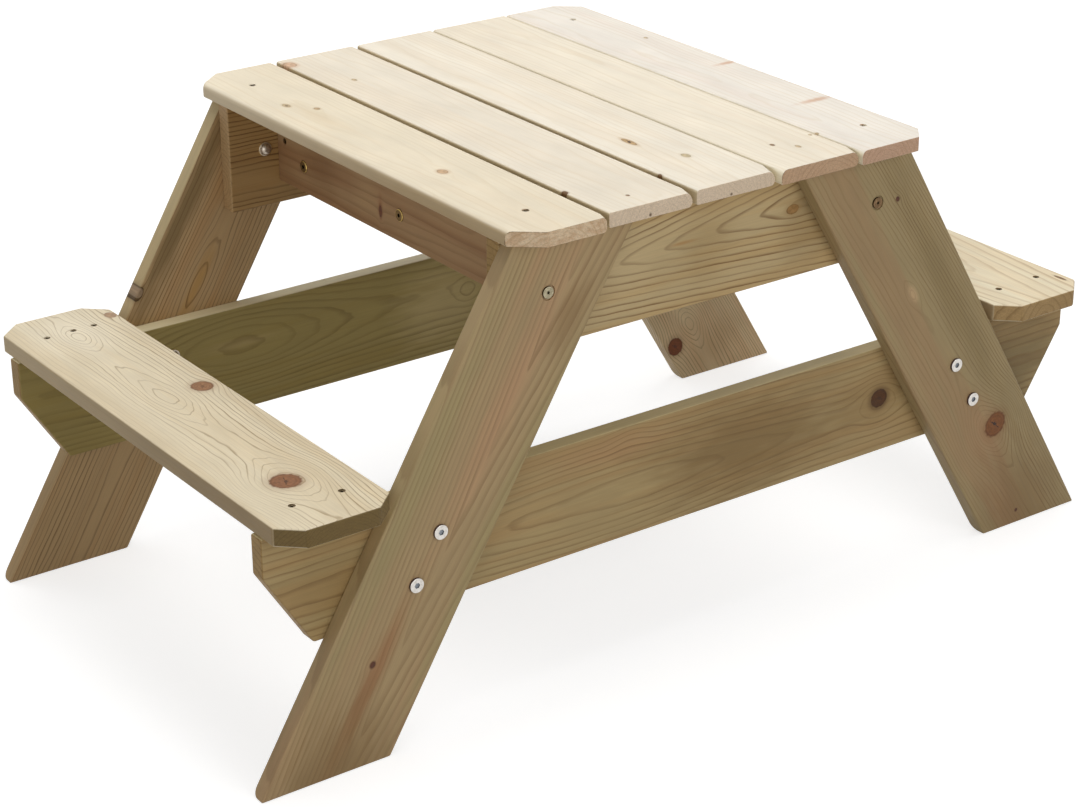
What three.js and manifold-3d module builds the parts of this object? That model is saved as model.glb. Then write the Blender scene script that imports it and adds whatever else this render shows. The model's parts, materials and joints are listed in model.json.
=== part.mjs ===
// Child's picnic table with a sandbox under the middle of its top.
// Millimetres, +Z up. X runs along the planks and the benches, Y from bench to bench.
// The origin is on the ground, midway between the four feet.
// Front is +X, back is -X, left is -Y and right is +Y.
import * as THREE from "three";
import { mergeVertices } from "three/addons/utils/BufferGeometryUtils.js";
import Module from "manifold-3d";

const wasm = await Module();
wasm.setup();

// Tabletop: two fixed outer planks, and between them the planks of the lift-off lid
const tableHeight = 500;
const plankLength = 604;
const plankWidth = 100;
const plankGap = 1.5;
const plankThickness = 15;
const topClipLength = 25; // cut off the table's four corners, along the plank
const topClipWidth = 30; // and across it

// Cleats under the lid, which hold its planks together and drop in between the end boards
const cleatWidth = 44;
const cleatThickness = 15;
const cleatEndSetback = 1.5; // from the lid's edge to the cleat's end
const cleatToEndBoard = 2;

// Legs, which lean out to the benches
const boardThickness = 19; // legs, rails, end boards and seats
const legWidth = 121; // square to the leg's own length
const legLean = THREE.MathUtils.degToRad(30.9); // from the vertical
const legTopInset = 12; // from the table's long edge to the leg's top corner
const legEndInset = 26; // from the plank ends to the legs' outer face
const footRound = 4; // radius of the foot's two corners

// Benches
const seatHeight = 276; // top of the seats
const seatLength = 592;
const seatWidth = 124;
const seatToLeg = 3.5; // gap between a seat's inner edge and the leg
const seatClipLength = 22; // cut off each seat's four corners, along the seat
const seatClipWidth = 24; // and across it
const railDepth = 120;
const railPastSeat = 2; // the rail's end past the seat's outer edge
const railEndHeight = 40; // upright part of the rail's end, above its slanted part
const railClipRun = 50; // how far the slanted part runs in under the rail

// Sandbox: end boards, side boards, floor, and the ledgers and corner blocks inside
const endBoardDepth = 120;
const endBoardInset = 6; // from the table's long edge to the end board's end
const sideBoardThickness = 15;
const sideBoardDepth = 94;
const sideBoardToNut = 8.5; // gap between a side board and the nuts outside it
const ledgerWidth = 20;
const ledgerHeight = 20;
const ledgerLift = 19; // above the side board's lower edge
const floorThickness = 6;
const floorClearance = 1; // round the floor and at the ledgers' ends
const drainDiameter = 8;
const drainLengthShares = [-0.5, 0, 0.5]; // of the floor's half length
const drainWidthShares = [-0.5, 0.5]; // of the floor's half width
const cornerBlockWidth = 30; // along X
const cornerBlockToLid = 1.5;
const cornerBlockLift = 6; // above the side board's lower edge

// Leg bolts and their cap nuts
const boltDiameter = 6;
const boltClearance = 0.3; // round the shank, in the boards and in the nut
const boltHeadDiameter = 15;
const boltHeadHeight = 4;
const boltHeadRimHeight = 2; // straight part of the head's edge
const boltHeadFaceDiameter = 12;
const socketAcross = 4;
const socketDepth = 2.5;
const boltIntoNut = 3.5;
const nutDiameter = 15;
const nutHeight = 6;
const nutRimHeight = 2;
const nutCrownDiameter = 9; // flat top of the nut's dome
const nutEndSpace = 0.5; // between the bolt's end and the inside of the cap
const endBoltDrop = 56; // from the leg's top to its upper bolt
const railBoltPitch = 47; // between a leg's two lower bolts, up and down

// Screws that hold the ledgers and corner blocks to the side boards
const screwDiameter = 5;
const screwTipDiameter = 2;
const screwTipLength = 4;
const screwClearance = 0.3;
const screwEmbed = 14; // how deep a screw goes into a ledger or corner block
const ledgerScrewInset = 22; // from the ledger's end to its outer screws
const ledgerScrewHeadDiameter = 14;
const ledgerScrewHeadHeight = 2.5;
const ledgerScrewHeadSink = 1.5; // from the side board's face down to the head
const ledgerScrewSocketDiameter = 6;
const ledgerScrewSocketDepth = 2;
const cornerScrewHeadDiameter = 8;
const cornerScrewHeadHeight = 3;
const cornerScrewHeadSink = 0.5;
const cornerScrewSocketDiameter = 3;
const cornerScrewSocketDepth = 1.5;

// How finely round things are cut, and how far a cutter runs past what it cuts
const roundSegments = 12;
const footCornerSegments = 3;
const cutOverrun = 1;

// Heights
const plankUnderside = tableHeight - plankThickness;
const railTop = seatHeight - boardThickness;
const railMiddle = railTop - railDepth / 2;
const sideBoardBottom = plankUnderside - sideBoardDepth;
const ledgerBottom = sideBoardBottom + ledgerLift;
const floorBottom = ledgerBottom + ledgerHeight;
const floorTop = floorBottom + floorThickness;

// Places along X
const plankEndX = plankLength / 2;
const legOuterX = plankEndX - legEndInset;
const legInnerX = legOuterX - boardThickness;
const frameInnerX = legInnerX - boardThickness; // inner face of the rails and end boards
const cornerBlockInnerX = frameInnerX - cornerBlockWidth;
const ledgerEndX = cornerBlockInnerX - floorClearance;
const ledgerScrewX = ledgerEndX - ledgerScrewInset;

// Places along Y
const lidPlankNames = ["left", "middle", "right"];
const plankPitch = plankWidth + plankGap;
const lidHalfWidth = (lidPlankNames.length * plankPitch - plankGap) / 2;
const fixedPlankInnerY = lidHalfWidth + plankGap;
const tableHalfWidth = fixedPlankInnerY + plankWidth;
const legLevelWidth = legWidth / Math.cos(legLean);
const legTopOuterY = tableHalfWidth - legTopInset;
const legTopInnerY = legTopOuterY - legLevelWidth;
const legRun = (z) => Math.tan(legLean) * (plankUnderside - z); // how far out the leg is at height z
const legMiddleY = (z) => (legTopOuterY + legTopInnerY) / 2 + legRun(z);
const seatInnerY = legTopOuterY + legRun(railTop) + seatToLeg;
const seatOuterY = seatInnerY + seatWidth;
const railEndY = seatOuterY + railPastSeat;
const endBoardEndY = tableHalfWidth - endBoardInset;

// Bolts along each leg: one through the end board and two through the bench rail
const endBoltZ = plankUnderside - endBoltDrop;
const legBolts = [
  { name: "top", y: legMiddleY(endBoltZ), z: endBoltZ },
  { name: "upper", y: legMiddleY(railMiddle + railBoltPitch / 2), z: railMiddle + railBoltPitch / 2 },
  { name: "lower", y: legMiddleY(railMiddle - railBoltPitch / 2), z: railMiddle - railBoltPitch / 2 },
];
const [endBolt, ...railBolts] = legBolts;

// The side boards stand just inside the nuts of the upper bolts
const sideOuterY = endBolt.y - nutDiameter / 2 - sideBoardToNut;
const sideInnerY = sideOuterY - sideBoardThickness;
const cornerBlockInnerY = lidHalfWidth + cornerBlockToLid;

const ends = [
  { name: "front", sign: 1 },
  { name: "back", sign: -1 },
];
const sides = [
  { name: "left", sign: -1 },
  { name: "right", sign: 1 },
];

// Finishes
const paleWood = () => new THREE.MeshStandardMaterial({ color: 0xe8dcc3, roughness: 0.7, metalness: 0 });
const frameWood = () => new THREE.MeshStandardMaterial({ color: 0x8f7854, roughness: 0.75, metalness: 0 });
const boxWood = () => new THREE.MeshStandardMaterial({ color: 0x8a6c4c, roughness: 0.75, metalness: 0 });
const plywood = () => new THREE.MeshStandardMaterial({ color: 0xb99b6c, roughness: 0.8, metalness: 0 });
const zincSteel = () => new THREE.MeshStandardMaterial({ color: 0xc9ccd0, roughness: 0.3, metalness: 1 });
const yellowZinc = () => new THREE.MeshStandardMaterial({ color: 0xc9a65a, roughness: 0.35, metalness: 1 });

// An outline from corners [u, v] or [u, v, radius], counterclockwise
function outline(corners) {
  const shape = new THREE.Shape();
  corners.forEach(([u, v, radius], i) => {
    const corner = new THREE.Vector2(u, v);
    if (!radius) {
      shape[i ? "lineTo" : "moveTo"](u, v);
      return;
    }
    const last = corners[(i + corners.length - 1) % corners.length];
    const next = corners[(i + 1) % corners.length];
    const back = new THREE.Vector2(last[0], last[1]).sub(corner).normalize();
    const ahead = new THREE.Vector2(next[0], next[1]).sub(corner).normalize();
    const halfAngle = Math.acos(back.dot(ahead)) / 2;
    const start = corner.clone().addScaledVector(back, radius / Math.tan(halfAngle));
    const inward = back.clone().add(ahead).normalize();
    const centre = corner.clone().addScaledVector(inward, radius / Math.sin(halfAngle));
    const startAngle = start.clone().sub(centre).angle();
    const turn = Math.PI - 2 * halfAngle;
    shape[i ? "lineTo" : "moveTo"](start.x, start.y);
    shape.absarc(centre.x, centre.y, radius, startAngle, startAngle + turn, false);
  });
  return shape;
}

// A rectangle whose four corners are cut off
function clippedRectangle(minU, maxU, minV, maxV, clipU, clipV) {
  return outline([
    [minU + clipU, minV],
    [maxU - clipU, minV],
    [maxU, minV + clipV],
    [maxU, maxV - clipV],
    [maxU - clipU, maxV],
    [minU + clipU, maxV],
    [minU, maxV - clipV],
    [minU, minV + clipV],
  ]);
}

function rectangle(minU, maxU, minV, maxV) {
  return outline([
    [minU, minV],
    [maxU, minV],
    [maxU, maxV],
    [minU, maxV],
  ]);
}

function extruded(shape, thickness) {
  return new THREE.ExtrudeGeometry(shape, {
    depth: thickness,
    bevelEnabled: false,
    curveSegments: footCornerSegments,
  });
}

// A board lying flat: its outline is in X and Y
function flatBoard(shape, thickness, bottomZ) {
  return extruded(shape, thickness).translate(0, 0, bottomZ);
}

const acrossX = new THREE.Matrix4().set(0, 0, 1, 0, 1, 0, 0, 0, 0, 1, 0, 0, 0, 0, 0, 1);

// A board standing across the table: its outline is in Y and Z
function crossBoard(shape, thickness, minX) {
  return extruded(shape, thickness).applyMatrix4(acrossX).translate(minX, 0, 0);
}

function box(minX, maxX, minY, maxY, minZ, maxZ) {
  const geometry = new THREE.BoxGeometry(maxX - minX, maxY - minY, maxZ - minZ);
  return geometry.translate((minX + maxX) / 2, (minY + maxY) / 2, (minZ + maxZ) / 2);
}

// A round bar along the axis "x", "y" or "z", centred on the other two places
const axisTurns = {
  x: new THREE.Matrix4().makeRotationZ(-Math.PI / 2),
  y: new THREE.Matrix4(),
  z: new THREE.Matrix4().makeRotationX(Math.PI / 2),
};

function bar(axis, diameter, from, to, place) {
  const geometry = new THREE.CylinderGeometry(diameter / 2, diameter / 2, Math.abs(to - from), roundSegments);
  const centre = new THREE.Vector3(place.x ?? 0, place.y ?? 0, place.z ?? 0);
  centre[axis] = (from + to) / 2;
  return geometry.applyMatrix4(axisTurns[axis]).translate(centre.x, centre.y, centre.z);
}

function solidOf(geometry) {
  const bare = geometry.clone();
  bare.deleteAttribute("normal");
  bare.deleteAttribute("uv");
  const merged = mergeVertices(bare);
  return new wasm.Manifold(
    new wasm.Mesh({
      numProp: 3,
      vertProperties: new Float32Array(merged.attributes.position.array),
      triVerts: new Uint32Array(merged.index.array),
    }),
  );
}

function geometryOf(solid) {
  const mesh = solid.getMesh();
  const geometry = new THREE.BufferGeometry();
  geometry.setAttribute("position", new THREE.BufferAttribute(mesh.vertProperties, 3));
  geometry.setIndex(new THREE.BufferAttribute(mesh.triVerts, 1));
  geometry.computeVertexNormals();
  return geometry;
}

function cut(geometry, cutters) {
  const whole = solidOf(geometry);
  return geometryOf(cutters.reduce((solid, cutter) => solid.subtract(solidOf(cutter)), whole));
}

function named(name, geometry, material) {
  const mesh = new THREE.Mesh(geometry, material);
  mesh.name = name;
  return mesh;
}

// Holes for the leg bolts through a board between two places along X
function boltHoles(bolts, minX, maxX) {
  const diameter = boltDiameter + 2 * boltClearance;
  return bolts.map((bolt) => bar("x", diameter, minX - cutOverrun, maxX + cutOverrun, bolt));
}

const onSide = (bolts, side) => bolts.map((bolt) => ({ ...bolt, y: side.sign * bolt.y }));
const onBothSides = (bolts) => sides.flatMap((side) => onSide(bolts, side));

// The lower and the higher X of a board between two distances from the middle
const spanX = (end, inner, outer) => (end.sign > 0 ? [inner, outer] : [-outer, -inner]);

function leg(end, side) {
  const footRun = legRun(0);
  const corners = [
    [side.sign * legTopInnerY, plankUnderside],
    [side.sign * (legTopInnerY + footRun), 0, footRound],
    [side.sign * (legTopOuterY + footRun), 0, footRound],
    [side.sign * legTopOuterY, plankUnderside],
  ];
  const shape = outline(side.sign > 0 ? corners : corners.reverse());
  const [minX, maxX] = spanX(end, legInnerX, legOuterX);
  const board = crossBoard(shape, boardThickness, minX);
  return cut(board, boltHoles(onSide(legBolts, side), minX, maxX));
}

function benchRail(end) {
  const shape = outline([
    [-railEndY + railClipRun, railTop - railDepth],
    [railEndY - railClipRun, railTop - railDepth],
    [railEndY, railTop - railEndHeight],
    [railEndY, railTop],
    [-railEndY, railTop],
    [-railEndY, railTop - railEndHeight],
  ]);
  const [minX, maxX] = spanX(end, frameInnerX, legInnerX);
  return cut(crossBoard(shape, boardThickness, minX), boltHoles(onBothSides(railBolts), minX, maxX));
}

function seat(side) {
  const [minY, maxY] = side.sign > 0 ? [seatInnerY, seatOuterY] : [-seatOuterY, -seatInnerY];
  const halfLength = seatLength / 2;
  const shape = clippedRectangle(-halfLength, halfLength, minY, maxY, seatClipLength, seatClipWidth);
  return flatBoard(shape, boardThickness, railTop);
}

function endBoard(end) {
  const [minX, maxX] = spanX(end, frameInnerX, legInnerX);
  const shape = rectangle(-endBoardEndY, endBoardEndY, plankUnderside - endBoardDepth, plankUnderside);
  return cut(crossBoard(shape, boardThickness, minX), boltHoles(onBothSides([endBolt]), minX, maxX));
}

// The outer planks are clipped at their outer corners only
function outerPlank(side) {
  const inner = side.sign * fixedPlankInnerY;
  const outer = side.sign * tableHalfWidth;
  const clipped = outer - side.sign * topClipWidth;
  const corners = [
    [-plankEndX, inner],
    [plankEndX, inner],
    [plankEndX, clipped],
    [plankEndX - topClipLength, outer],
    [-plankEndX + topClipLength, outer],
    [-plankEndX, clipped],
  ];
  const shape = outline(side.sign > 0 ? corners : corners.reverse());
  return flatBoard(shape, plankThickness, plankUnderside);
}

function lidPlank(index) {
  const minY = -lidHalfWidth + index * plankPitch;
  return box(-plankEndX, plankEndX, minY, minY + plankWidth, plankUnderside, tableHeight);
}

function lidCleat(end) {
  const outerX = frameInnerX - cleatToEndBoard;
  const [minX, maxX] = spanX(end, outerX - cleatWidth, outerX);
  const halfLength = lidHalfWidth - cleatEndSetback;
  return box(minX, maxX, -halfLength, halfLength, plankUnderside - cleatThickness, plankUnderside);
}

// Screws through the side boards: one into each corner block, three into each ledger
const ledgerScrewZ = ledgerBottom + ledgerHeight / 2;
const cornerScrewX = frameInnerX - cornerBlockWidth / 2;
const cornerScrewZ = sideBoardBottom + sideBoardDepth / 2;
const ledgerScrews = [
  { name: "front", x: ledgerScrewX, z: ledgerScrewZ },
  { name: "middle", x: 0, z: ledgerScrewZ },
  { name: "back", x: -ledgerScrewX, z: ledgerScrewZ },
];
const screwHoleDiameter = screwDiameter + 2 * screwClearance;
const screwDepth = sideBoardThickness + screwEmbed; // from the side board's face to the screw's tip

// A screw's hole, from the side board's face inwards, a little past the screw's tip
function screwHole(side, place) {
  const from = side.sign * (sideOuterY + cutOverrun);
  const to = side.sign * (sideOuterY - screwDepth - screwClearance);
  return bar("y", screwHoleDiameter, from, to, place);
}

function headRecess(side, place, headDiameter, headHeight, headSink) {
  const from = side.sign * (sideOuterY + cutOverrun);
  const to = side.sign * (sideOuterY - headSink - headHeight);
  return bar("y", headDiameter + 2 * screwClearance, from, to, place);
}

function sideBoard(side) {
  const [minY, maxY] = side.sign > 0 ? [sideInnerY, sideOuterY] : [-sideOuterY, -sideInnerY];
  const board = box(-frameInnerX, frameInnerX, minY, maxY, sideBoardBottom, plankUnderside);
  const ledgerCuts = ledgerScrews.flatMap((place) => [
    screwHole(side, place),
    headRecess(side, place, ledgerScrewHeadDiameter, ledgerScrewHeadHeight, ledgerScrewHeadSink),
  ]);
  const cornerCuts = ends.flatMap((end) => {
    const place = { x: end.sign * cornerScrewX, z: cornerScrewZ };
    return [
      screwHole(side, place),
      headRecess(side, place, cornerScrewHeadDiameter, cornerScrewHeadHeight, cornerScrewHeadSink),
    ];
  });
  return cut(board, [...ledgerCuts, ...cornerCuts]);
}

function floorLedger(side) {
  const innerY = sideInnerY - ledgerWidth;
  const [minY, maxY] = side.sign > 0 ? [innerY, sideInnerY] : [-sideInnerY, -innerY];
  const strip = box(-ledgerEndX, ledgerEndX, minY, maxY, ledgerBottom, floorBottom);
  return cut(strip, ledgerScrews.map((place) => screwHole(side, place)));
}

function cornerBlock(end, side) {
  const [minX, maxX] = spanX(end, cornerBlockInnerX, frameInnerX);
  const [minY, maxY] = side.sign > 0 ? [cornerBlockInnerY, sideInnerY] : [-sideInnerY, -cornerBlockInnerY];
  const block = box(minX, maxX, minY, maxY, sideBoardBottom + cornerBlockLift, plankUnderside);
  return cut(block, [screwHole(side, { x: end.sign * cornerScrewX, z: cornerScrewZ })]);
}

// The floor rests on the ledgers, notched round the corner blocks, with drain holes
function sandboxFloor() {
  const halfLength = frameInnerX - floorClearance;
  const halfWidth = sideInnerY - floorClearance;
  const notchX = cornerBlockInnerX - floorClearance;
  const notchY = cornerBlockInnerY - floorClearance;
  const shape = outline([
    [-notchX, -halfWidth],
    [notchX, -halfWidth],
    [notchX, -notchY],
    [halfLength, -notchY],
    [halfLength, notchY],
    [notchX, notchY],
    [notchX, halfWidth],
    [-notchX, halfWidth],
    [-notchX, notchY],
    [-halfLength, notchY],
    [-halfLength, -notchY],
    [-notchX, -notchY],
  ]);
  const drains = drainLengthShares.flatMap((alongShare) =>
    drainWidthShares.map((acrossShare) => {
      const place = { x: alongShare * halfLength, y: acrossShare * halfWidth };
      return bar("z", drainDiameter, floorBottom - cutOverrun, floorTop + cutOverrun, place);
    }),
  );
  return cut(flatBoard(shape, floorThickness, floorBottom), drains);
}

// A turned piece from its half profile [radius, height], with its axis along Y
function turned(profile) {
  return new THREE.LatheGeometry(profile.map(([r, h]) => new THREE.Vector2(r, h)), roundSegments);
}

// Leg bolt: the head's underside is at 0 and the shank runs down
const boardStack = 2 * boardThickness;
const hexCornerToFlat = 2 / Math.sqrt(3);

function boltGeometry() {
  const body = turned([
    [0, -boardStack - boltIntoNut],
    [boltDiameter / 2, -boardStack - boltIntoNut],
    [boltDiameter / 2, 0],
    [boltHeadDiameter / 2, 0],
    [boltHeadDiameter / 2, boltHeadRimHeight],
    [boltHeadFaceDiameter / 2, boltHeadHeight],
    [0, boltHeadHeight],
  ]);
  const socketRadius = (socketAcross * hexCornerToFlat) / 2;
  const socketLength = socketDepth + cutOverrun;
  const socket = new THREE.CylinderGeometry(socketRadius, socketRadius, socketLength, 6);
  socket.translate(0, boltHeadHeight - socketDepth + socketLength / 2, 0);
  return cut(body, [socket]);
}

// Cap nut: its seat is at 0 and its dome rises, hollow for the bolt's end
function nutGeometry() {
  const boreRadius = boltDiameter / 2 + boltClearance;
  const boreDepth = boltIntoNut + nutEndSpace;
  return turned([
    [0, boreDepth],
    [boreRadius, boreDepth],
    [boreRadius, 0],
    [nutDiameter / 2, 0],
    [nutDiameter / 2, nutRimHeight],
    [nutCrownDiameter / 2, nutHeight],
    [0, nutHeight],
  ]);
}

// Screw: the head's outer face is at 0 and the shank runs down, to a blunt tip
function screwGeometry(headDiameter, headHeight, headSink, socketDiameter, socketDepthInHead) {
  const tipEnd = -screwDepth + headSink;
  const tipStart = tipEnd + screwTipLength;
  return turned([
    [0, tipEnd],
    [screwTipDiameter / 2, tipEnd],
    [screwDiameter / 2, tipStart],
    [screwDiameter / 2, -headHeight],
    [headDiameter / 2, -headHeight],
    [headDiameter / 2, 0],
    [socketDiameter / 2, 0],
    [socketDiameter / 2, -socketDepthInHead],
    [0, -socketDepthInHead],
  ]);
}

// Turns a piece made along Y so that its top points out of the table
function facingEnd(mesh, end) {
  mesh.rotation.z = -end.sign * (Math.PI / 2);
  return mesh;
}

function facingSide(mesh, side) {
  mesh.rotation.x = side.sign > 0 ? 0 : Math.PI;
  return mesh;
}

const bolt = boltGeometry();
const nut = nutGeometry();
const ledgerScrew = screwGeometry(
  ledgerScrewHeadDiameter,
  ledgerScrewHeadHeight,
  ledgerScrewHeadSink,
  ledgerScrewSocketDiameter,
  ledgerScrewSocketDepth,
);
const cornerScrew = screwGeometry(
  cornerScrewHeadDiameter,
  cornerScrewHeadHeight,
  cornerScrewHeadSink,
  cornerScrewSocketDiameter,
  cornerScrewSocketDepth,
);

// The two A-frames, each with its legs, bench rail, bolts and nuts
const frames = new THREE.Group();
for (const end of ends) {
  frames.add(named(`bench_rail_${end.name}`, benchRail(end), frameWood()));
  for (const side of sides) {
    const corner = `${end.name}_${side.name}`;
    frames.add(named(`leg_${corner}`, leg(end, side), frameWood()));
    for (const place of legBolts) {
      const boltMesh = facingEnd(named(`leg_bolt_${corner}_${place.name}`, bolt, zincSteel()), end);
      boltMesh.position.set(end.sign * legOuterX, side.sign * place.y, place.z);
      const inward = { sign: -end.sign };
      const nutMesh = facingEnd(named(`leg_nut_${corner}_${place.name}`, nut, zincSteel()), inward);
      nutMesh.position.set(end.sign * frameInnerX, side.sign * place.y, place.z);
      frames.add(boltMesh, nutMesh);
    }
  }
}

const benches = new THREE.Group();
for (const side of sides) {
  benches.add(named(`seat_${side.name}`, seat(side), paleWood()));
}

const sandbox = new THREE.Group();
sandbox.add(named("sandbox_floor", sandboxFloor(), plywood()));
for (const end of ends) {
  sandbox.add(named(`sandbox_end_${end.name}`, endBoard(end), frameWood()));
}
for (const side of sides) {
  sandbox.add(named(`sandbox_side_${side.name}`, sideBoard(side), boxWood()));
  sandbox.add(named(`floor_ledger_${side.name}`, floorLedger(side), boxWood()));
  for (const place of ledgerScrews) {
    const name = `ledger_screw_${side.name}_${place.name}`;
    const screw = facingSide(named(name, ledgerScrew, yellowZinc()), side);
    screw.position.set(place.x, side.sign * (sideOuterY - ledgerScrewHeadSink), place.z);
    sandbox.add(screw);
  }
  for (const end of ends) {
    const corner = `${end.name}_${side.name}`;
    sandbox.add(named(`corner_block_${corner}`, cornerBlock(end, side), boxWood()));
    const screw = facingSide(named(`corner_screw_${corner}`, cornerScrew, yellowZinc()), side);
    screw.position.set(end.sign * cornerScrewX, side.sign * (sideOuterY - cornerScrewHeadSink), cornerScrewZ);
    sandbox.add(screw);
  }
}

const tabletop = new THREE.Group();
for (const side of sides) {
  tabletop.add(named(`table_plank_${side.name}`, outerPlank(side), paleWood()));
}

// The lid lifts straight off the sandbox
const lid = new THREE.Group();
lidPlankNames.forEach((name, index) => {
  lid.add(named(`lid_plank_${name}`, lidPlank(index), paleWood()));
});
for (const end of ends) {
  lid.add(named(`lid_cleat_${end.name}`, lidCleat(end), paleWood()));
}

const picnicTable = new THREE.Group();
picnicTable.add(frames, benches, sandbox, tabletop, lid);

export default picnicTable;
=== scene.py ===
"""Child's picnic table with a sandbox under its top: the looks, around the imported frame.

Metres, +Z up. X runs along the planks and benches, Y from bench to bench. Front is +X, left is -Y.
Sizes written in millimetres are turned to metres by MM.
"""
import json
import math

import bpy
from mathutils import Matrix, Vector

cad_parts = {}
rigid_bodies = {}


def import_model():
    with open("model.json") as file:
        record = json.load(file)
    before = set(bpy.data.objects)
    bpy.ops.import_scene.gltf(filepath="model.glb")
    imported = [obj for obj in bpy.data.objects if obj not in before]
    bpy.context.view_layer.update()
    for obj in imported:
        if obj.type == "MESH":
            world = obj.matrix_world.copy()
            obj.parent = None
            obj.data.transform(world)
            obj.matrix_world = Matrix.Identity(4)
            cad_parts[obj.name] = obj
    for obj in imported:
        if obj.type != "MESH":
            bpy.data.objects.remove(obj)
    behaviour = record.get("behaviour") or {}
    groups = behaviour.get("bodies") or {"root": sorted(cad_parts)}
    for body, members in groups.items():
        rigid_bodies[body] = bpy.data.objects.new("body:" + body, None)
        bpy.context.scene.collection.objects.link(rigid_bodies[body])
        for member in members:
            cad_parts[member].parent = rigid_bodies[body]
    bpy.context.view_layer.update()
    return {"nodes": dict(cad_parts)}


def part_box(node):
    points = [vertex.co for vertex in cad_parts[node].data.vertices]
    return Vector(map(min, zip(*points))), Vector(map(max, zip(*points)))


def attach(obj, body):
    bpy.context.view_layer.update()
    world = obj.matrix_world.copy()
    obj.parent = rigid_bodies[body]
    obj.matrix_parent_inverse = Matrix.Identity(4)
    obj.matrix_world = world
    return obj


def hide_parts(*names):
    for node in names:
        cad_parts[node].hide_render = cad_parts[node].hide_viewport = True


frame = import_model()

MM = 0.001
# Points that are nearer than this count as level with each other
LEVEL = MM / 100

ENDS = {"front": 1, "back": -1}
SIDES = {"left": -1, "right": 1}
CORNERS = [(end, side) for end in ENDS for side in SIDES]
X, Y, Z = Vector((1, 0, 0)), Vector((0, 1, 0)), Vector((0, 0, 1))

# Eased edges and cut-off corners, in millimetres
PLANK_RIGHT_ROUND = {"table_plank_left": 6, "lid_plank_left": 4.5}
PLANK_ROUND = 2.5
PLANK_OUTER_ROUND = 6
PLANK_END_EASE = 0.7
# The planks' front corners are worn over this length. By plank and side: how round the end is above and
# below, and how far in from the side it starts
WEAR_LENGTH = 25
WEAR_STEPS = 6
WORN_CORNERS = {
    "table_plank_left": {1: (6, 4, 4)},
    "lid_plank_left": {1: (10, 5, 1)},
    "lid_plank_middle": {1: (10, 5, 2), -1: (4, 3, 0)},
    "lid_plank_right": {1: (9, 5, 1.5), -1: (8, 3, 0)},
    "table_plank_right": {-1: (7, 3, 0)},
}
# How far some planks are sawn short at the front, and how far their left and right sides stand to the right
PLANK_SHORT = {"lid_plank_left": 7, "lid_plank_middle": 7.5, "lid_plank_right": 2.3}
PLANK_SIDES = {
    "table_plank_left": (0, 1), "lid_plank_left": (3, 2), "lid_plank_middle": (5, 3),
    "lid_plank_right": (4, 3.3), "table_plank_right": (3.5, 0),
}
TOP_CLIP_LENGTH = 25
TOP_CLIP_WIDTH = 30
SMALL_CLIP_WIDTH = 22
FOOT_ROUND = 9
FOOT_STEPS = 5
SEAT_CLIP_LENGTH = 22
SEAT_CLIP_WIDTH = 24
SEAT_ROUND = 2.2
BOARD_ROUND = 2
BATTEN_ROUND = 1.2
RAIL_CLIP_RUN = 50
RAIL_END_HEIGHT = 40
LEG_LEAN = math.radians(30.9)
ROUND_STEPS = 4
SOFT_ANGLE = math.radians(32)

# Fasteners, in millimetres
BOLT_ROWS = ("top", "upper", "lower")
LEDGER_SCREWS = ("front", "middle", "back")
BOLT_HOLE = 6.6
BOLT_SHANK = 6
BOLT_HEAD = 15
BOLT_HEAD_HEIGHT = 2.8
BOLT_RIM = 0.6
BOLT_SOCKET = 6.2
BOLT_SOCKET_DEPTH = 1.2
BOLT_SOCKET_START = 0.5
BOLT_SHANK_OVERLAP = 0.2
# Rings turned in a bolt's face, from its rim inwards: how wide each is and how far it drops
BOLT_RINGS = [(2.4, 0.05), (0.4, 0.15)]
SUNK_RINGS = [(0.8, 0), (0.4, 0.35), (0.7, 0), (0.4, -0.3), (0.7, 0), (0.3, 0.35)]
SUNK_HEAD = 12
SUNK_HEAD_HEIGHT = 2
SUNK_SOCKET = 3.4
SUNK_BORE = 15.5
SUNK_DEPTH = 1.2
BOLT_INTO_NUT = 3.5
NUT = 15
NUT_FLANGE = 1.6
NUT_RIM = 0.5
NUT_DOME = 12
NUT_DOME_ROUND = 4.2
NUT_DOME_STEPS = 7
NUT_HEIGHT = 6
CUP = 13.5
CUP_RIM = 1
CUP_PROUD = 1
CUP_HEIGHT = 3.5
CUP_BORE = 4.2
CUP_BORE_DEPTH = 1.9
CUP_FACE_DEPTH = 0.15
CUP_RIM_DEPTH = 0.8
LEDGER_SHANK = 5
LEDGER_SCREW_LENGTH = 27
SHANK_OVERLAP = 0.5
SCREW_HEAD = 6.6
SCREW_SINK = 0.8
SCREW_HEAD_HEIGHT = 3
SCREW_SHANK = 4
SCREW_LENGTH = 28
CROSS_WIDTH = 1.1
CROSS_LENGTH = 4.2
CROSS_DEPTH = 1.4
TURNED_SIDES = 64
CUP_SIDES = 56
FASTENER_SIDES = 40
COUNTERSINK_SIDES = 32
HOLE_SIDES = 24
SHANK_SIDES = 16
SOCKET_SIDES = 6
FIT = 0.6
# How far past a bore's or a dome's edge a face still belongs to it
MARGIN = 0.1
CLEAT_SCREW_SPREAD = 50
# Along and across each board from its middle
SCREWS = {
    "table_plank_left": [(243, -2.5), (-242, -10)],
    "table_plank_right": [(241.5, 8.5), (-242, 4)],
    "seat_left": [(246.5, 28), (246, -24.5), (-243.5, 27), (-243, 3), (-241, -28)],
    "seat_right": [(244, 33), (245.5, -25), (-244, 27), (-244, -27)],
}

# Studio
FLOOR_COLOUR = "#c8c8c8"
FLOOR_GLOW = 0.7
FLOOR_NEAR = 1.2
FLOOR_FAR = 3.5
AMBIENT = 0.25
FLOOR_SIZE = 16

# The photograph's view
CAMERA_PLACE = Vector((2.0817, -1.5107, 1.3180))
CAMERA_HEADING = 2.5188
CAMERA_PITCH = -0.4220
CAMERA_ROLL = -0.0051
FOCAL_LENGTH = 86.94
SENSOR_WIDTH = 36.0

# Shaping in Blender


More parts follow.
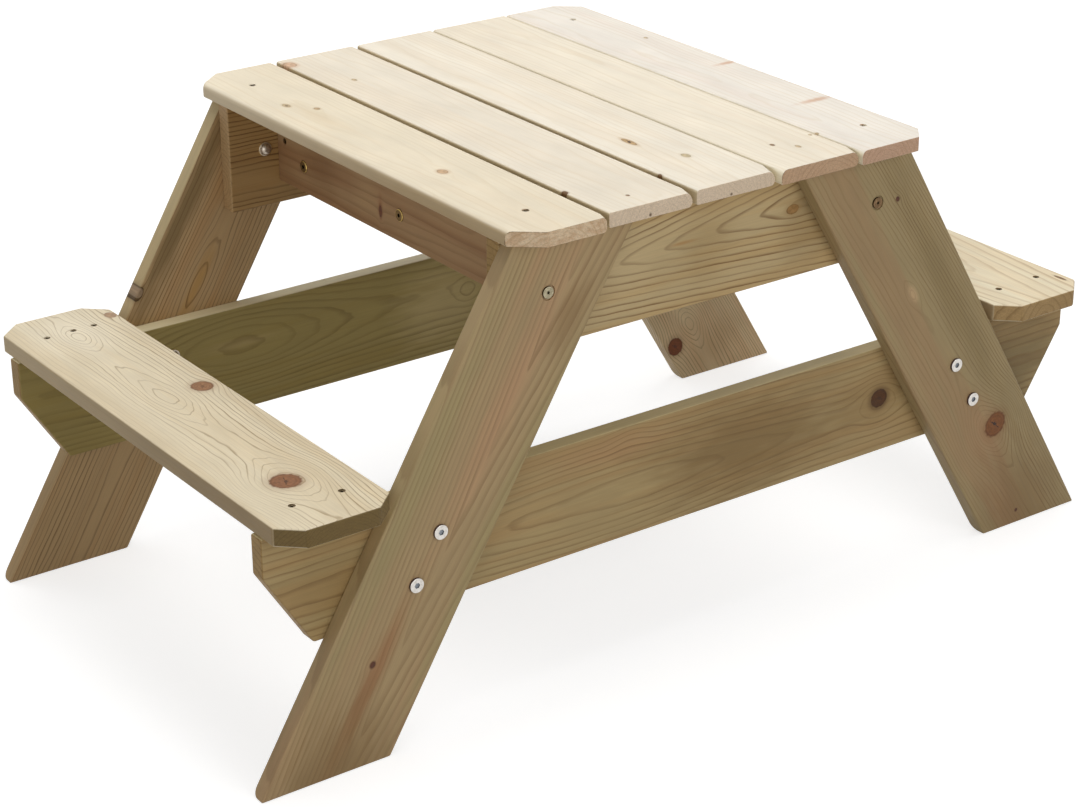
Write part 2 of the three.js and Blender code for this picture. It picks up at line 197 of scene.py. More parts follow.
def deselect_all():
    bpy.ops.object.select_all(action="DESELECT")


def make_active(piece):
    deselect_all()
    piece.select_set(True)
    bpy.context.view_layer.objects.active = piece


def block(name, low, high):
    """A squared timber between two corners, with its place in its mesh."""
    deselect_all()
    bpy.ops.mesh.primitive_cube_add(size=1, location=(low + high) / 2, scale=high - low)
    piece = bpy.context.active_object
    piece.name = piece.data.name = name
    bpy.ops.object.transform_apply(location=True, rotation=True, scale=True)
    return piece


def select_parts(piece, kind, chosen):
    """Leaves edit mode's selection on the vertices or edges whose points all pass the test."""
    make_active(piece)
    bpy.ops.object.mode_set(mode="EDIT")
    bpy.ops.mesh.select_mode(type=kind)
    bpy.ops.mesh.select_all(action="DESELECT")
    bpy.ops.object.mode_set(mode="OBJECT")
    points = [vertex.co for vertex in piece.data.vertices]
    if kind == "VERT":
        for vertex in piece.data.vertices:
            vertex.select = chosen(vertex.co)
    else:
        for edge in piece.data.edges:
            edge.select = all(chosen(points[end]) for end in edge.vertices)
    bpy.ops.object.mode_set(mode="EDIT")


def round_edges(piece, chosen, width, steps):
    """Rounds the edges whose points all pass the test, by a width in millimetres."""
    select_parts(piece, "EDGE", chosen)
    bpy.ops.mesh.bevel(offset=width * MM, segments=steps, affect="EDGES")
    bpy.ops.object.mode_set(mode="OBJECT")


def saw_off(piece, place, outward):
    """Cuts away what lies beyond a plane, and closes the cut."""
    make_active(piece)
    bpy.ops.object.mode_set(mode="EDIT")
    bpy.ops.mesh.select_all(action="SELECT")
    bpy.ops.mesh.bisect(plane_co=place, plane_no=outward, clear_outer=True, use_fill=True)
    bpy.ops.object.mode_set(mode="OBJECT")


def apply_modifier(piece, modifier):
    make_active(piece)
    bpy.ops.object.modifier_apply(modifier=modifier.name)


def ease_edges(piece, width, steps=3, share=None):
    """Rounds every edge by a width in millimetres, or by the share of it that an edge's two ends give."""
    points = [vertex.co for vertex in piece.data.vertices]
    weights = piece.data.attributes.new("bevel_weight_edge", "FLOAT", "EDGE")
    for edge in piece.data.edges:
        a, b = (points[end] for end in edge.vertices)
        weights.data[edge.index].value = share(a, b) if share else 1.0
    bevel = piece.modifiers.new("eased edges", "BEVEL")
    bevel.width = width * MM
    bevel.segments = steps
    bevel.limit_method = "WEIGHT"
    apply_modifier(piece, bevel)


def ease_corners(piece, width, steps=3):
    """Rounds only the edges where two faces meet at more than a soft angle."""
    bevel = piece.modifiers.new("eased ends", "BEVEL")
    bevel.width = width * MM
    bevel.segments = steps
    bevel.limit_method = "ANGLE"
    bevel.angle_limit = SOFT_ANGLE
    bevel.use_clamp_overlap = False
    apply_modifier(piece, bevel)


def cut_away(piece, cutter):
    boolean = piece.modifiers.new("hole", "BOOLEAN")
    boolean.operation = "DIFFERENCE"
    boolean.solver = "EXACT"
    boolean.object = cutter
    apply_modifier(piece, boolean)
    bpy.data.objects.remove(cutter)


def rod(name, diameter, start, end, sides=FASTENER_SIDES):
    """A round bar between two points."""
    deselect_all()
    length = (end - start).length
    bpy.ops.mesh.primitive_cylinder_add(vertices=sides, radius=diameter * MM / 2, depth=length)
    piece = bpy.context.active_object
    piece.name = piece.data.name = name
    turn = Z.rotation_difference(end - start).to_matrix().to_4x4()
    piece.data.transform(Matrix.Translation((start + end) / 2) @ turn)
    return piece


def join(name, pieces):
    deselect_all()
    for piece in pieces:
        piece.select_set(True)
    bpy.context.view_layer.objects.active = pieces[0]
    bpy.ops.object.join()
    pieces[0].name = pieces[0].data.name = name
    return pieces[0]


def smooth(piece):
    """Smooth shading over the eased edges, with the flat faces kept flat."""
    make_active(piece)
    bpy.ops.object.shade_smooth_by_angle(angle=SOFT_ANGLE)
    weighted = piece.modifiers.new("flat faces", "WEIGHTED_NORMAL")
    weighted.keep_sharp = True
    weighted.weight = 100
    apply_modifier(piece, weighted)


def dress(piece, node, body, slot, *materials):
    """Gives a piece its finish, and lets it stand for its node and move with its body."""
    smooth(piece)
    for index, material in enumerate(materials):
        if index < len(piece.data.materials):
            piece.data.materials[index] = material
        else:
            piece.data.materials.append(material)
    if node:
        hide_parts(node)
    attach(piece, body)


# Materials


def linear(hex_colour):
    """An sRGB hex colour as linear RGBA."""
    channels = [int(hex_colour[i:i + 2], 16) / 255 for i in (1, 3, 5)]
    return tuple(c / 12.92 if c <= 0.04045 else ((c + 0.055) / 1.055) ** 2.4 for c in channels) + (1.0,)


def add(tree, kind, inputs=None, **settings):
    """Adds a node, sets it up, and links or sets its inputs."""
    made = tree.nodes.new(kind)
    for name, value in settings.items():
        setattr(made, name, value)
    for key, value in (inputs or {}).items():
        if isinstance(value, bpy.types.NodeSocket):
            tree.links.new(value, made.inputs[key])
        else:
            made.inputs[key].default_value = value
    return made


def calc(tree, operation, *values):
    """A number worked out from up to three others."""
    return add(tree, "ShaderNodeMath", dict(enumerate(values)), operation=operation).outputs[0]


def product(tree, first, *others):
    for other in others:
        first = calc(tree, "MULTIPLY", first, other)
    return first


def vector(tree, operation, *values):
    """A vector worked out from two others."""
    return add(tree, "ShaderNodeVectorMath", dict(enumerate(values)), operation=operation).outputs[0]


def measure(tree, operation, *values):
    """The length of a vector, or the dot product of two."""
    return add(tree, "ShaderNodeVectorMath", dict(enumerate(values)), operation=operation).outputs["Value"]


def scaled(tree, value, factor):
    """A vector or colour times a number."""
    return add(tree, "ShaderNodeVectorMath", {0: value, "Scale": factor}, operation="SCALE").outputs[0]


def part_of(tree, value, axis):
    return add(tree, "ShaderNodeSeparateXYZ", {0: value}).outputs[axis]


def ramp(tree, value, start, end, low=0.0, high=1.0, smooth=False):
    """Goes from low to high while the value goes from start to end."""
    return add(tree, "ShaderNodeMapRange", {
        "Value": value, "From Min": start, "From Max": end, "To Min": low, "To Max": high,
    }, interpolation_type="SMOOTHSTEP" if smooth else "LINEAR").outputs[0]


def mix(tree, share, a, b):
    """The colour that has this share of b."""
    return add(tree, "ShaderNodeMix", {"Factor": share, "A": a, "B": b}, data_type="RGBA").outputs["Result"]


def patches(tree, point, size, detail, seed=None, **inputs):
    """Noise in patches of about this length, width and depth."""
    stretched = vector(tree, "MULTIPLY", point, tuple(1 / length for length in size))
    inputs.update({"Vector": stretched, "Scale": 1.0, "Detail": detail})
    if seed is not None:
        inputs["W"] = seed
    return add(tree, "ShaderNodeTexNoise", inputs, noise_dimensions="3D" if seed is None else "4D").outputs[0]


def new_group(name, inputs, outputs):
    """A node group, as its tree and its input sockets; f is a number, v a vector and c a colour."""
    kinds = {"f": "NodeSocketFloat", "v": "NodeSocketVector", "c": "NodeSocketColor"}
    tree = bpy.data.node_groups.new(name, "ShaderNodeTree")
    for direction, sockets in (("INPUT", inputs), ("OUTPUT", outputs)):
        for socket, kind in sockets.items():
            tree.interface.new_socket(socket, in_out=direction, socket_type=kinds[kind])
    return tree, add(tree, "NodeGroupInput").outputs


def new_material(name):
    """A material without nodes, and its tree."""
    material = bpy.data.materials.new(name)
    material.use_nodes = True
    material.node_tree.nodes.clear()
    return material, material.node_tree


def principled(tree, inputs):
    """Ends a material's tree with a shader."""
    shader = add(tree, "ShaderNodeBsdfPrincipled", inputs)
    add(tree, "ShaderNodeOutputMaterial", {"Surface": shader.outputs[0]})


def knot_group():
    """A knot or swelling: it pushes the growth rings out and parts the grain round itself. Millimetres."""
    tree, given = new_group("knot", {
        "Point": "v", "Push": "f", "Centre": "v", "Half size": "v", "Reach": "f", "Lift": "f", "Part": "f",
    }, {"Point": "v", "Push": "f", "Distance": "f", "Offset": "v"})
    point = given["Point"]
    flat = vector(tree, "MULTIPLY", vector(tree, "SUBTRACT", point, given["Centre"]), (1, 1, 0))
    distance = measure(tree, "LENGTH", vector(tree, "DIVIDE", flat, given["Half size"]))
    share = calc(tree, "DIVIDE", distance, given["Reach"])
    halo = calc(tree, "EXPONENT", product(tree, share, share, -1.0))
    push = calc(tree, "MULTIPLY_ADD", halo, given["Lift"], given["Push"])
    pull = scaled(tree, vector(tree, "MULTIPLY", flat, (0, 1, 0)), product(tree, halo, given["Part"]))
    moved = vector(tree, "SUBTRACT", point, pull)
    add(tree, "NodeGroupOutput", {"Point": moved, "Push": push, "Distance": distance, "Offset": flat})
    return tree


def core_group():
    """The branch wood inside a knot: its own tight rings, a dark rim, and a drying crack."""
    tree, given = new_group("knot core", {
        "Wood": "c", "Distance": "f", "Offset": "v", "Core": "c", "Crack": "f", "Stain": "f",
    }, {"Color": "c"})
    distance, offset = given["Distance"], given["Offset"]
    noise = patches(tree, offset, (5, 5, 5), 3.0)
    bump = calc(tree, "SUBTRACT", noise, 0.5)
    ragged = calc(tree, "MULTIPLY_ADD", bump, 0.3, distance)
    inside = ramp(tree, ragged, 0.92, 1.12, 1.0, 0.0, smooth=True)
    ring = ramp(tree, calc(tree, "SINE", product(tree, distance, 26.0)), -1.0, 1.0, 0.9, 1.05)
    rim = ramp(tree, ragged, 0.75, 1.0, 1.0, 0.72)
    mottled = ramp(tree, noise, 0.35, 0.65, 0.78, 1.12)
    core = scaled(tree, given["Core"], product(tree, ring, rim, mottled))
    slant = calc(tree, "MULTIPLY_ADD", part_of(tree, offset, "X"), 0.35, part_of(tree, offset, "Y"))
    gap = calc(tree, "ABSOLUTE", calc(tree, "MULTIPLY_ADD", bump, 9.0, slant))
    split = ramp(tree, gap, 0.3, 1.1, 1.0, 0.0)
    near_middle = ramp(tree, distance, 0.45, 0.7, 1.0, 0.0)
    cracked = mix(tree, product(tree, split, near_middle, given["Crack"]), core, linear("#2c1b12"))
    stain = product(tree, ramp(tree, distance, 1.0, 1.8, 1.0, 0.0, smooth=True), given["Stain"])
    around = mix(tree, stain, given["Wood"], given["Core"])
    add(tree, "NodeGroupOutput", {"Color": mix(tree, inside, around, cracked)})
    return tree


def ring_group():
    """Growth rings round a pith line. Millimetres, with the grain along the point's first axis."""
    tree, given = new_group("growth rings", {
        "Point": "v", "Push": "f", "Pith": "v", "Pith slope": "v", "Ring width": "f", "Taper": "f",
        "Wander": "f", "Line start": "f", "Eccentric": "f", "First ring": "f", "Seed": "f",
    }, {"Late wood": "f"})
    point, seed = given["Point"], given["Seed"]
    along = part_of(tree, point, "X")
    pith = vector(tree, "ADD", given["Pith"], scaled(tree, given["Pith slope"], along))
    section = vector(tree, "MULTIPLY", vector(tree, "SUBTRACT", point, pith), (0, 1, 1))
    radius = measure(tree, "LENGTH", section)
    sideways = part_of(tree, section, "Y")
    uneven = calc(tree, "MULTIPLY_ADD", sideways, given["Eccentric"], radius)
    steep = calc(tree, "ABSOLUTE", calc(tree, "DIVIDE", sideways, radius))

    # The trunk's slow bends, and the small ripples on them
    bend = calc(tree, "SUBTRACT", patches(tree, point, (230, 42, 42), 1.0, seed), 0.5)
    ripple = calc(tree, "SUBTRACT", patches(tree, point, (38, 9, 9), 1.0, seed), 0.5)
    bent = calc(tree, "MULTIPLY_ADD", bend, given["Wander"], uneven)
    rippled = calc(tree, "MULTIPLY_ADD", ripple, 2.4, bent)
    rings = calc(tree, "DIVIDE", calc(tree, "ADD", rippled, given["Push"]), given["Ring width"])
    phase = calc(tree, "MULTIPLY_ADD", along, given["Taper"], calc(tree, "ADD", rings, given["First ring"]))
    year = calc(tree, "ADD", calc(tree, "FLOOR", phase), seed)
    chance = add(tree, "ShaderNodeTexWhiteNoise", {"W": year}, noise_dimensions="1D").outputs["Value"]

    # Where a ring lies nearly flat in the face, its late wood would spread into a blot, so it is kept thin
    start = calc(tree, "MULTIPLY_ADD", chance, 0.12, given["Line start"])
    start = ramp(tree, steep, 0.0, 0.5, calc(tree, "MULTIPLY_ADD", start, 0.5, 0.47), start)
    part = calc(tree, "FRACT", phase)
    rise = ramp(tree, part, start, 0.93, smooth=True)
    drop = ramp(tree, part, 0.93, 1.0, 1.0, 0.0, smooth=True)
    weight = product(tree, ramp(tree, chance, 0.0, 1.0, 1.0, 0.5), ramp(tree, steep, 0.0, 0.4, 0.8))
    add(tree, "NodeGroupOutput", {"Late wood": product(tree, product(tree, rise, drop), weight)})
    return tree


def stain_group():
    """A soft patch of another colour, long with the grain: resin or heartwood, and on some boards painted
    light and shade. Millimetres.
    """
    tree, given = new_group("stain", {
        "Wood": "c", "Point": "v", "Centre": "v", "Half size": "v", "Tint": "c", "Share": "f",
    }, {"Color": "c"})
    point = given["Point"]
    offset = vector(tree, "DIVIDE", vector(tree, "SUBTRACT", point, given["Centre"]), given["Half size"])
    distance = measure(tree, "LENGTH", vector(tree, "MULTIPLY", offset, (1, 1, 0)))
    reach = calc(tree, "MULTIPLY_ADD", patches(tree, point, (45, 7, 7), 2.0), 0.7, distance)
    share = ramp(tree, reach, 0.45, 1.35, given["Share"], 0.0, smooth=True)
    add(tree, "NodeGroupOutput", {"Color": mix(tree, share, given["Wood"], given["Tint"])})
    return tree


KNOT = knot_group()
CORE = core_group()
RINGS = ring_group()
STAIN = stain_group()

# What a board's look leaves unsaid. Its colours are early, late and heart, and end and end_late on a sawn end
USUAL_LOOK = {
    "pith_slope": (0, 0), "taper": 0.002, "wander": 14, "eccentric": 0.0, "first_ring": 0.0,
    "heart_share": 0.7, "fibre": 0.06, "end_blots": 0.15, "knots": (), "stains": (), "edges": (),
}
# Where a board's long edge starts to leave its first tint, and where its second is full, in millimetres; the
# edge tints are painted light and shade, which change from back to front
EDGE_SHADE_FADING = (-230.0, 120.0)


def lay_knots(tree, point, knots):
    """Lets knots part the grain: the moved point, the push on the rings, and the knots that show a core."""
    push, cores = 0.0, []
    for spot in knots:
        grows = "core" in spot
        node = add(tree, "ShaderNodeGroup", {
            "Point": point, "Push": push, "Centre": (*spot["at"], 0), "Half size": (*spot["half"], 1),
            "Reach": spot.get("reach", 2.2 if grows else 1.0), "Lift": spot.get("lift", -2),
            "Part": spot.get("part", 0.4 if grows else 0.0),
        }, node_tree=KNOT).outputs
        point, push = node["Point"], node["Push"]
        if grows:
            cores.append((node, spot))
    return point, push, cores


def planed_face(tree, look, board_point, point, late_wood, fibre, sideways):
    """The colour of the long faces, before its knots."""
    seed, contrast = look["seed"], look["contrast"]
    band = patches(tree, point, (500, 22, 22), 2.0, seed)
    cloud = patches(tree, board_point, (70, 30, 30), 2.0, seed)
    heart = ramp(tree, band, 0.44, 0.64, 0.0, look["heart_share"], smooth=True)
    colour = mix(tree, heart, linear(look["early"]), linear(look["heart"]))
    for at, half, tint, share in look["stains"]:
        colour = add(tree, "ShaderNodeGroup", {
            "Wood": colour, "Point": board_point, "Centre": (*at, 0), "Half size": (*half, 1),
            "Tint": linear(tint), "Share": share,
        }, node_tree=STAIN).outputs["Color"]
    faint = ramp(tree, cloud, 0.35, 0.6, contrast * 0.55, contrast)
    if "quiet" in look:
        edge, fading, least = look["quiet"]
        calm = ramp(tree, part_of(tree, board_point, "Y"), edge, edge + fading, least, smooth=True)
        faint = product(tree, faint, calm)
    colour = mix(tree, product(tree, late_wood, faint), colour, linear(look["late"]))
    # Painted shade and light on the long edges, changing from the board's back to its front
    for sign, tints in zip((-1, 1), look["edges"]):
        if tints:
            edge_shade_share = ramp(tree, sideways, 0.5 * sign, 0.95 * sign, 0.0, 0.85, smooth=True)
            forward = ramp(tree, part_of(tree, board_point, "X"), *EDGE_SHADE_FADING)
            colour = mix(tree, edge_shade_share, colour, mix(tree, forward, linear(tints[0]), linear(tints[1])))
    streak = ramp(tree, fibre, 0.3, 0.7, 1 - look["fibre"], 1 + look["fibre"])
    return scaled(tree, colour, product(tree, streak, ramp(tree, cloud, 0.3, 0.7, 0.94, 1.04)))


def sawn_end(tree, look, board_point, late_wood, pore, blot):
    """The colour of the ends: open pores, so darker and rougher than the planed faces."""
    colour = mix(tree, product(tree, late_wood, 0.7), linear(look["end"]), linear(look["end_late"]))
    damp = ramp(tree, blot, 0.4, 0.62, 0.0, look["end_blots"])
    colour = mix(tree, damp, colour, linear(look.get("end_warm", look["end_late"])))
    if "pith_dot" in look:
        across, through, radius = look["pith_dot"]
        section = vector(tree, "SUBTRACT", board_point, (0, across, through))
        reach = measure(tree, "LENGTH", vector(tree, "MULTIPLY", section, (0, 1, 1)))
        reach = calc(tree, "MULTIPLY_ADD", pore, 1.5, reach)
        colour = mix(tree, ramp(tree, reach, radius, radius + 1.3, 0.9, 0.0), colour, linear("#5c4531"))
    return scaled(tree, colour, ramp(tree, pore, 0.3, 0.7, 0.84, 1.1))


def timber(name, centre, along, across, look):
    """Planed softwood: pale early wood, darker late wood in lines, fine fibres, and knots.

    centre is the board's middle in metres; along and across are unit vectors of the grain and of the width.
    look names the colours and the grain; its knots and stains are in millimetres from the board's middle.
    """
    look = {**USUAL_LOOK, **look}
    material, tree = new_material(name)
    turn = Matrix((along, across, along.cross(across)))
    coordinates = add(tree, "ShaderNodeTexCoord").outputs
    board_point = add(tree, "ShaderNodeMapping", {
        "Vector": coordinates["Object"], "Location": -(turn @ centre) / MM, "Rotation": turn.to_euler("XYZ"),
        "Scale": (1 / MM, 1 / MM, 1 / MM),
    }).outputs[0]
    point, push, cores = lay_knots(tree, board_point, look["knots"])
    late_wood = add(tree, "ShaderNodeGroup", {
        "Point": point, "Push": push, "Pith": (0, *look["pith"]), "Pith slope": (0, *look["pith_slope"]),
        "Ring width": look["ring_width"], "Taper": look["taper"], "Wander": look["wander"],
        "Line start": look["line_start"], "Eccentric": look["eccentric"], "First ring": look["first_ring"],
        "Seed": look["seed"],
    }, node_tree=RINGS).outputs["Late wood"]
    # Fibres about a millimetre across and several centimetres long; finer ones wouldn't show in a picture
    fibre = patches(tree, point, (50, 1.1, 1.1), 3.0, Roughness=0.6)
    sideways = measure(tree, "DOT_PRODUCT", coordinates["Normal"], across)
    colour = planed_face(tree, look, board_point, point, late_wood, fibre, sideways)
    for node, spot in cores:
        colour = add(tree, "ShaderNodeGroup", {
            "Wood": colour, "Distance": node["Distance"], "Offset": node["Offset"],
            "Core": linear(spot["core"]), "Crack": spot.get("crack", 0.0), "Stain": spot.get("stain", 0.25),
        }, node_tree=CORE).outputs["Color"]

    end_on = calc(tree, "ABSOLUTE", measure(tree, "DOT_PRODUCT", coordinates["Normal"], along))
    sawn = ramp(tree, end_on, 0.5, 0.75, smooth=True)
    pore = patches(tree, board_point, (1.6, 1.6, 1.1), 2.0)
    blot = patches(tree, board_point, (9, 9, 5), 2.0)
    colour = mix(tree, sawn, colour, sawn_end(tree, look, board_point, late_wood, pore, blot))
    if "arris" in look:
        # The end's eased edges are darkened in blotches
        blotches = ramp(tree, blot, 0.35, 0.5, 0.0, look["arris"])
        rim = product(tree, calc(tree, "COMPARE", end_on, 0.48, 0.24), blotches)
        colour = mix(tree, rim, colour, linear("#6b5233"))

    # Planing leaves the late wood a little proud, and the fibres give a fine silk
    relief = calc(tree, "MULTIPLY_ADD", late_wood, 0.5, fibre)
    height = add(tree, "ShaderNodeMix", {"Factor": sawn, "A": relief, "B": pore}, data_type="FLOAT")
    bump = add(tree, "ShaderNodeBump", {
        "Height": height.outputs["Result"], "Strength": 0.5, "Distance": 0.25 * MM,
    })
    principled(tree, {
        "Base Color": colour, "Roughness": ramp(tree, fibre, 0.3, 0.7, 0.5, 0.66), "Normal": bump.outputs[0],
        "IOR": 1.45, "Specular IOR Level": 0.35,
    })
    return material


def plated_metal(name, base, dull, roughness, side=None):
    """Zinc-plated steel: a bright metal with a faint grey bloom from the plating bath.

    With a side colour, faces that don't look along X are duller: painted shade and dark reflection on the
    flanks of a bolt head.
    """
    material, tree = new_material(name)
    coordinates = add(tree, "ShaderNodeTexCoord").outputs
    bloom = add(tree, "ShaderNodeTexNoise", {
        "Vector": coordinates["Object"], "Scale": 1 / (3 * MM), "Detail": 4.0,
    }).outputs[0]
    colour = mix(tree, ramp(tree, bloom, 0.4, 0.7), linear(base), linear(dull))
    if side:
        # Painted shade on the flanks, chosen by which way a face looks
        face_on = calc(tree, "ABSOLUTE", measure(tree, "DOT_PRODUCT", coordinates["Normal"], X))
        colour = mix(tree, ramp(tree, face_on, 0.35, 0.8, 1.0, 0.0), colour, linear(side))
    bump = add(tree, "ShaderNodeBump", {"Height": bloom, "Strength": 0.15, "Distance": 0.05 * MM})
    principled(tree, {
        "Base Color": colour, "Roughness": ramp(tree, bloom, 0.0, 1.0, roughness - 0.08, roughness + 0.1),
        "Metallic": 1.0, "Normal": bump.outputs[0],
    })
    return material


# The side colours are painted shade and dark reflection on the bolt heads' flanks
BRIGHT_ZINC = plated_metal("bright zinc plate", "#d2cec8", "#bab5ae", 0.3, side="#75686c")
# Painted shade inside the proud bolts' sockets
SHADED_SOCKET_ZINC = plated_metal("zinc in a bolt's socket, painted shaded", "#84888d", "#6c7076", 0.5)
# The top bolts' zinc is dull, and partly painted shade: darker for the tabletop's shade over them; the right
# ones also brownish
AGED_AND_SHADED_ZINC = plated_metal("aged zinc plate with painted shade", "#a49b82", "#857d67", 0.4, side="#54462f")
STAINED_AND_SHADED_ZINC = plated_metal("zinc plate stained brown with painted shade", "#7a6147", "#604d36", 0.45, side="#4c3c28")
# Painted shade inside sunk sockets, the ledger screws' bores and the corner screws' cross recesses
SHADED_SOCKET = plated_metal("painted shade in a sunk socket", "#3b3222", "#2a2318", 0.6)
# The cap nut's zinc in two copies: the dome painted in shade, the flange's rim painted lit
SHADED_NUT_ZINC = plated_metal("zinc plate in the shade", "#beb3a5", "#9c9286", 0.42)
LIT_FLANGE_ZINC = plated_metal("zinc plate painted lit on a nut's rim", "#ded3bd", "#c6baa2", 0.38)
# Yellow zinc in three copies: the plain rim, the face darkened as painted reflection of the wood, and the
# flank as painted shade
YELLOW_ZINC = plated_metal("yellow zinc plate", "#c6a765", "#8f7746", 0.36)
REFLECTING_YELLOW_FACE = plated_metal("yellow zinc darkened as painted reflection", "#77603d", "#5f4b2f", 0.5)
SHADED_YELLOW_FLANK = plated_metal("yellow zinc in the shade", "#3b2b17", "#2c2012", 0.55)
SCREW_ZINC = plated_metal("dull zinc screw", "#7f7057", "#584a36", 0.5)
PALE_SCREW = plated_metal("clean zinc screw", "#d3c8b0", "#b7ab92", 0.45)
# Painted shade inside the dull wood screws' cross recesses
CROSS_SHADE = plated_metal("painted shade in a cross recess", "#33281a", "#241c12", 0.65)

# Wood: each kind of board, then what differs from board to board.
# pith is where the tree's centre runs, in millimetres across and through the board from its middle.
# edges are the tints of the long edges to the left and right, each as at the board's back and at its front:
# painted shade on the sides and in the gaps between planks, fainter where a gap is narrow, and painted light
# on lit edges
GAP_SHADE_TONES = ("#c8b58c", "#bda97f")
SHALLOW_GAP_SHADE_TONES = ("#d6c39c", "#ccb890")
FAINT_GAP_SHADE_TONES = ("#efe4c8", "#eadfc2")
OUTER_EDGE_SHADE_TONES = ("#d8c6a6", "#b0966c")
SEAT_EDGE_SHADE_TONES = ("#b9a27c", "#896f47")
TOP_WOOD = {
    "early": "#f3e8d3", "late": "#d9c49e", "heart": "#efe0c8", "end": "#e1cbb0", "end_late": "#d2bb9e",
    "edges": (GAP_SHADE_TONES, GAP_SHADE_TONES), "ring_width": 5.0, "pith": (-6, -26), "contrast": 0.32, "wander": 20,
    "line_start": 0.5, "fibre": 0.035, "heart_share": 0.5,
}
SEAT_WOOD = {
    "early": "#e2d5b8", "late": "#94794f", "heart": "#ddc9a4", "end": "#705b31", "end_late": "#524020",
    "edges": (SEAT_EDGE_SHADE_TONES, SEAT_EDGE_SHADE_TONES), "ring_width": 4.6, "pith": (-20, -45), "contrast": 0.62, "wander": 16,
    "line_start": 0.62, "heart_share": 0.5,
}
FRAME_WOOD = {
    "early": "#b7a179", "late": "#6c4f2c", "heart": "#b08f68", "end": "#a1824f", "end_late": "#74592f",
    "ring_width": 5.0, "pith": (-10, -26), "contrast": 0.62, "wander": 14, "line_start": 0.55,
}
BOX_WOOD = {
    "early": "#a98862", "late": "#6d4a2c", "heart": "#9a7450", "end": "#947555", "end_late": "#6b5033",
    "ring_width": 6.5, "pith": (8, -24), "contrast": 0.55, "wander": 20, "line_start": 0.4,
    "heart_share": 0.9,
}
SHEET_WOOD = {
    "early": "#cbb38a", "late": "#b0925f", "heart": "#c4a67c", "end": "#9c8158", "end_late": "#7c6242",
    "ring_width": 9.0, "pith": (30, -20), "contrast": 0.6, "wander": 60, "line_start": 0.3,
}

RED_KNOT = "#916342"
BROWN_KNOT = "#8a6040"
DARK_KNOT = "#5a3524"
PALE_KNOT = "#cdb48c"
PIN_KNOT = "#8d6b45"


def knot(x, y, long, wide, core=None, **more):
    """A knot's place from the board's middle, its half size, and the colour of its core where one shows."""
    spot = dict(more, at=(x, y), half=(long, wide))
    if core:
        spot["core"] = core
    return spot


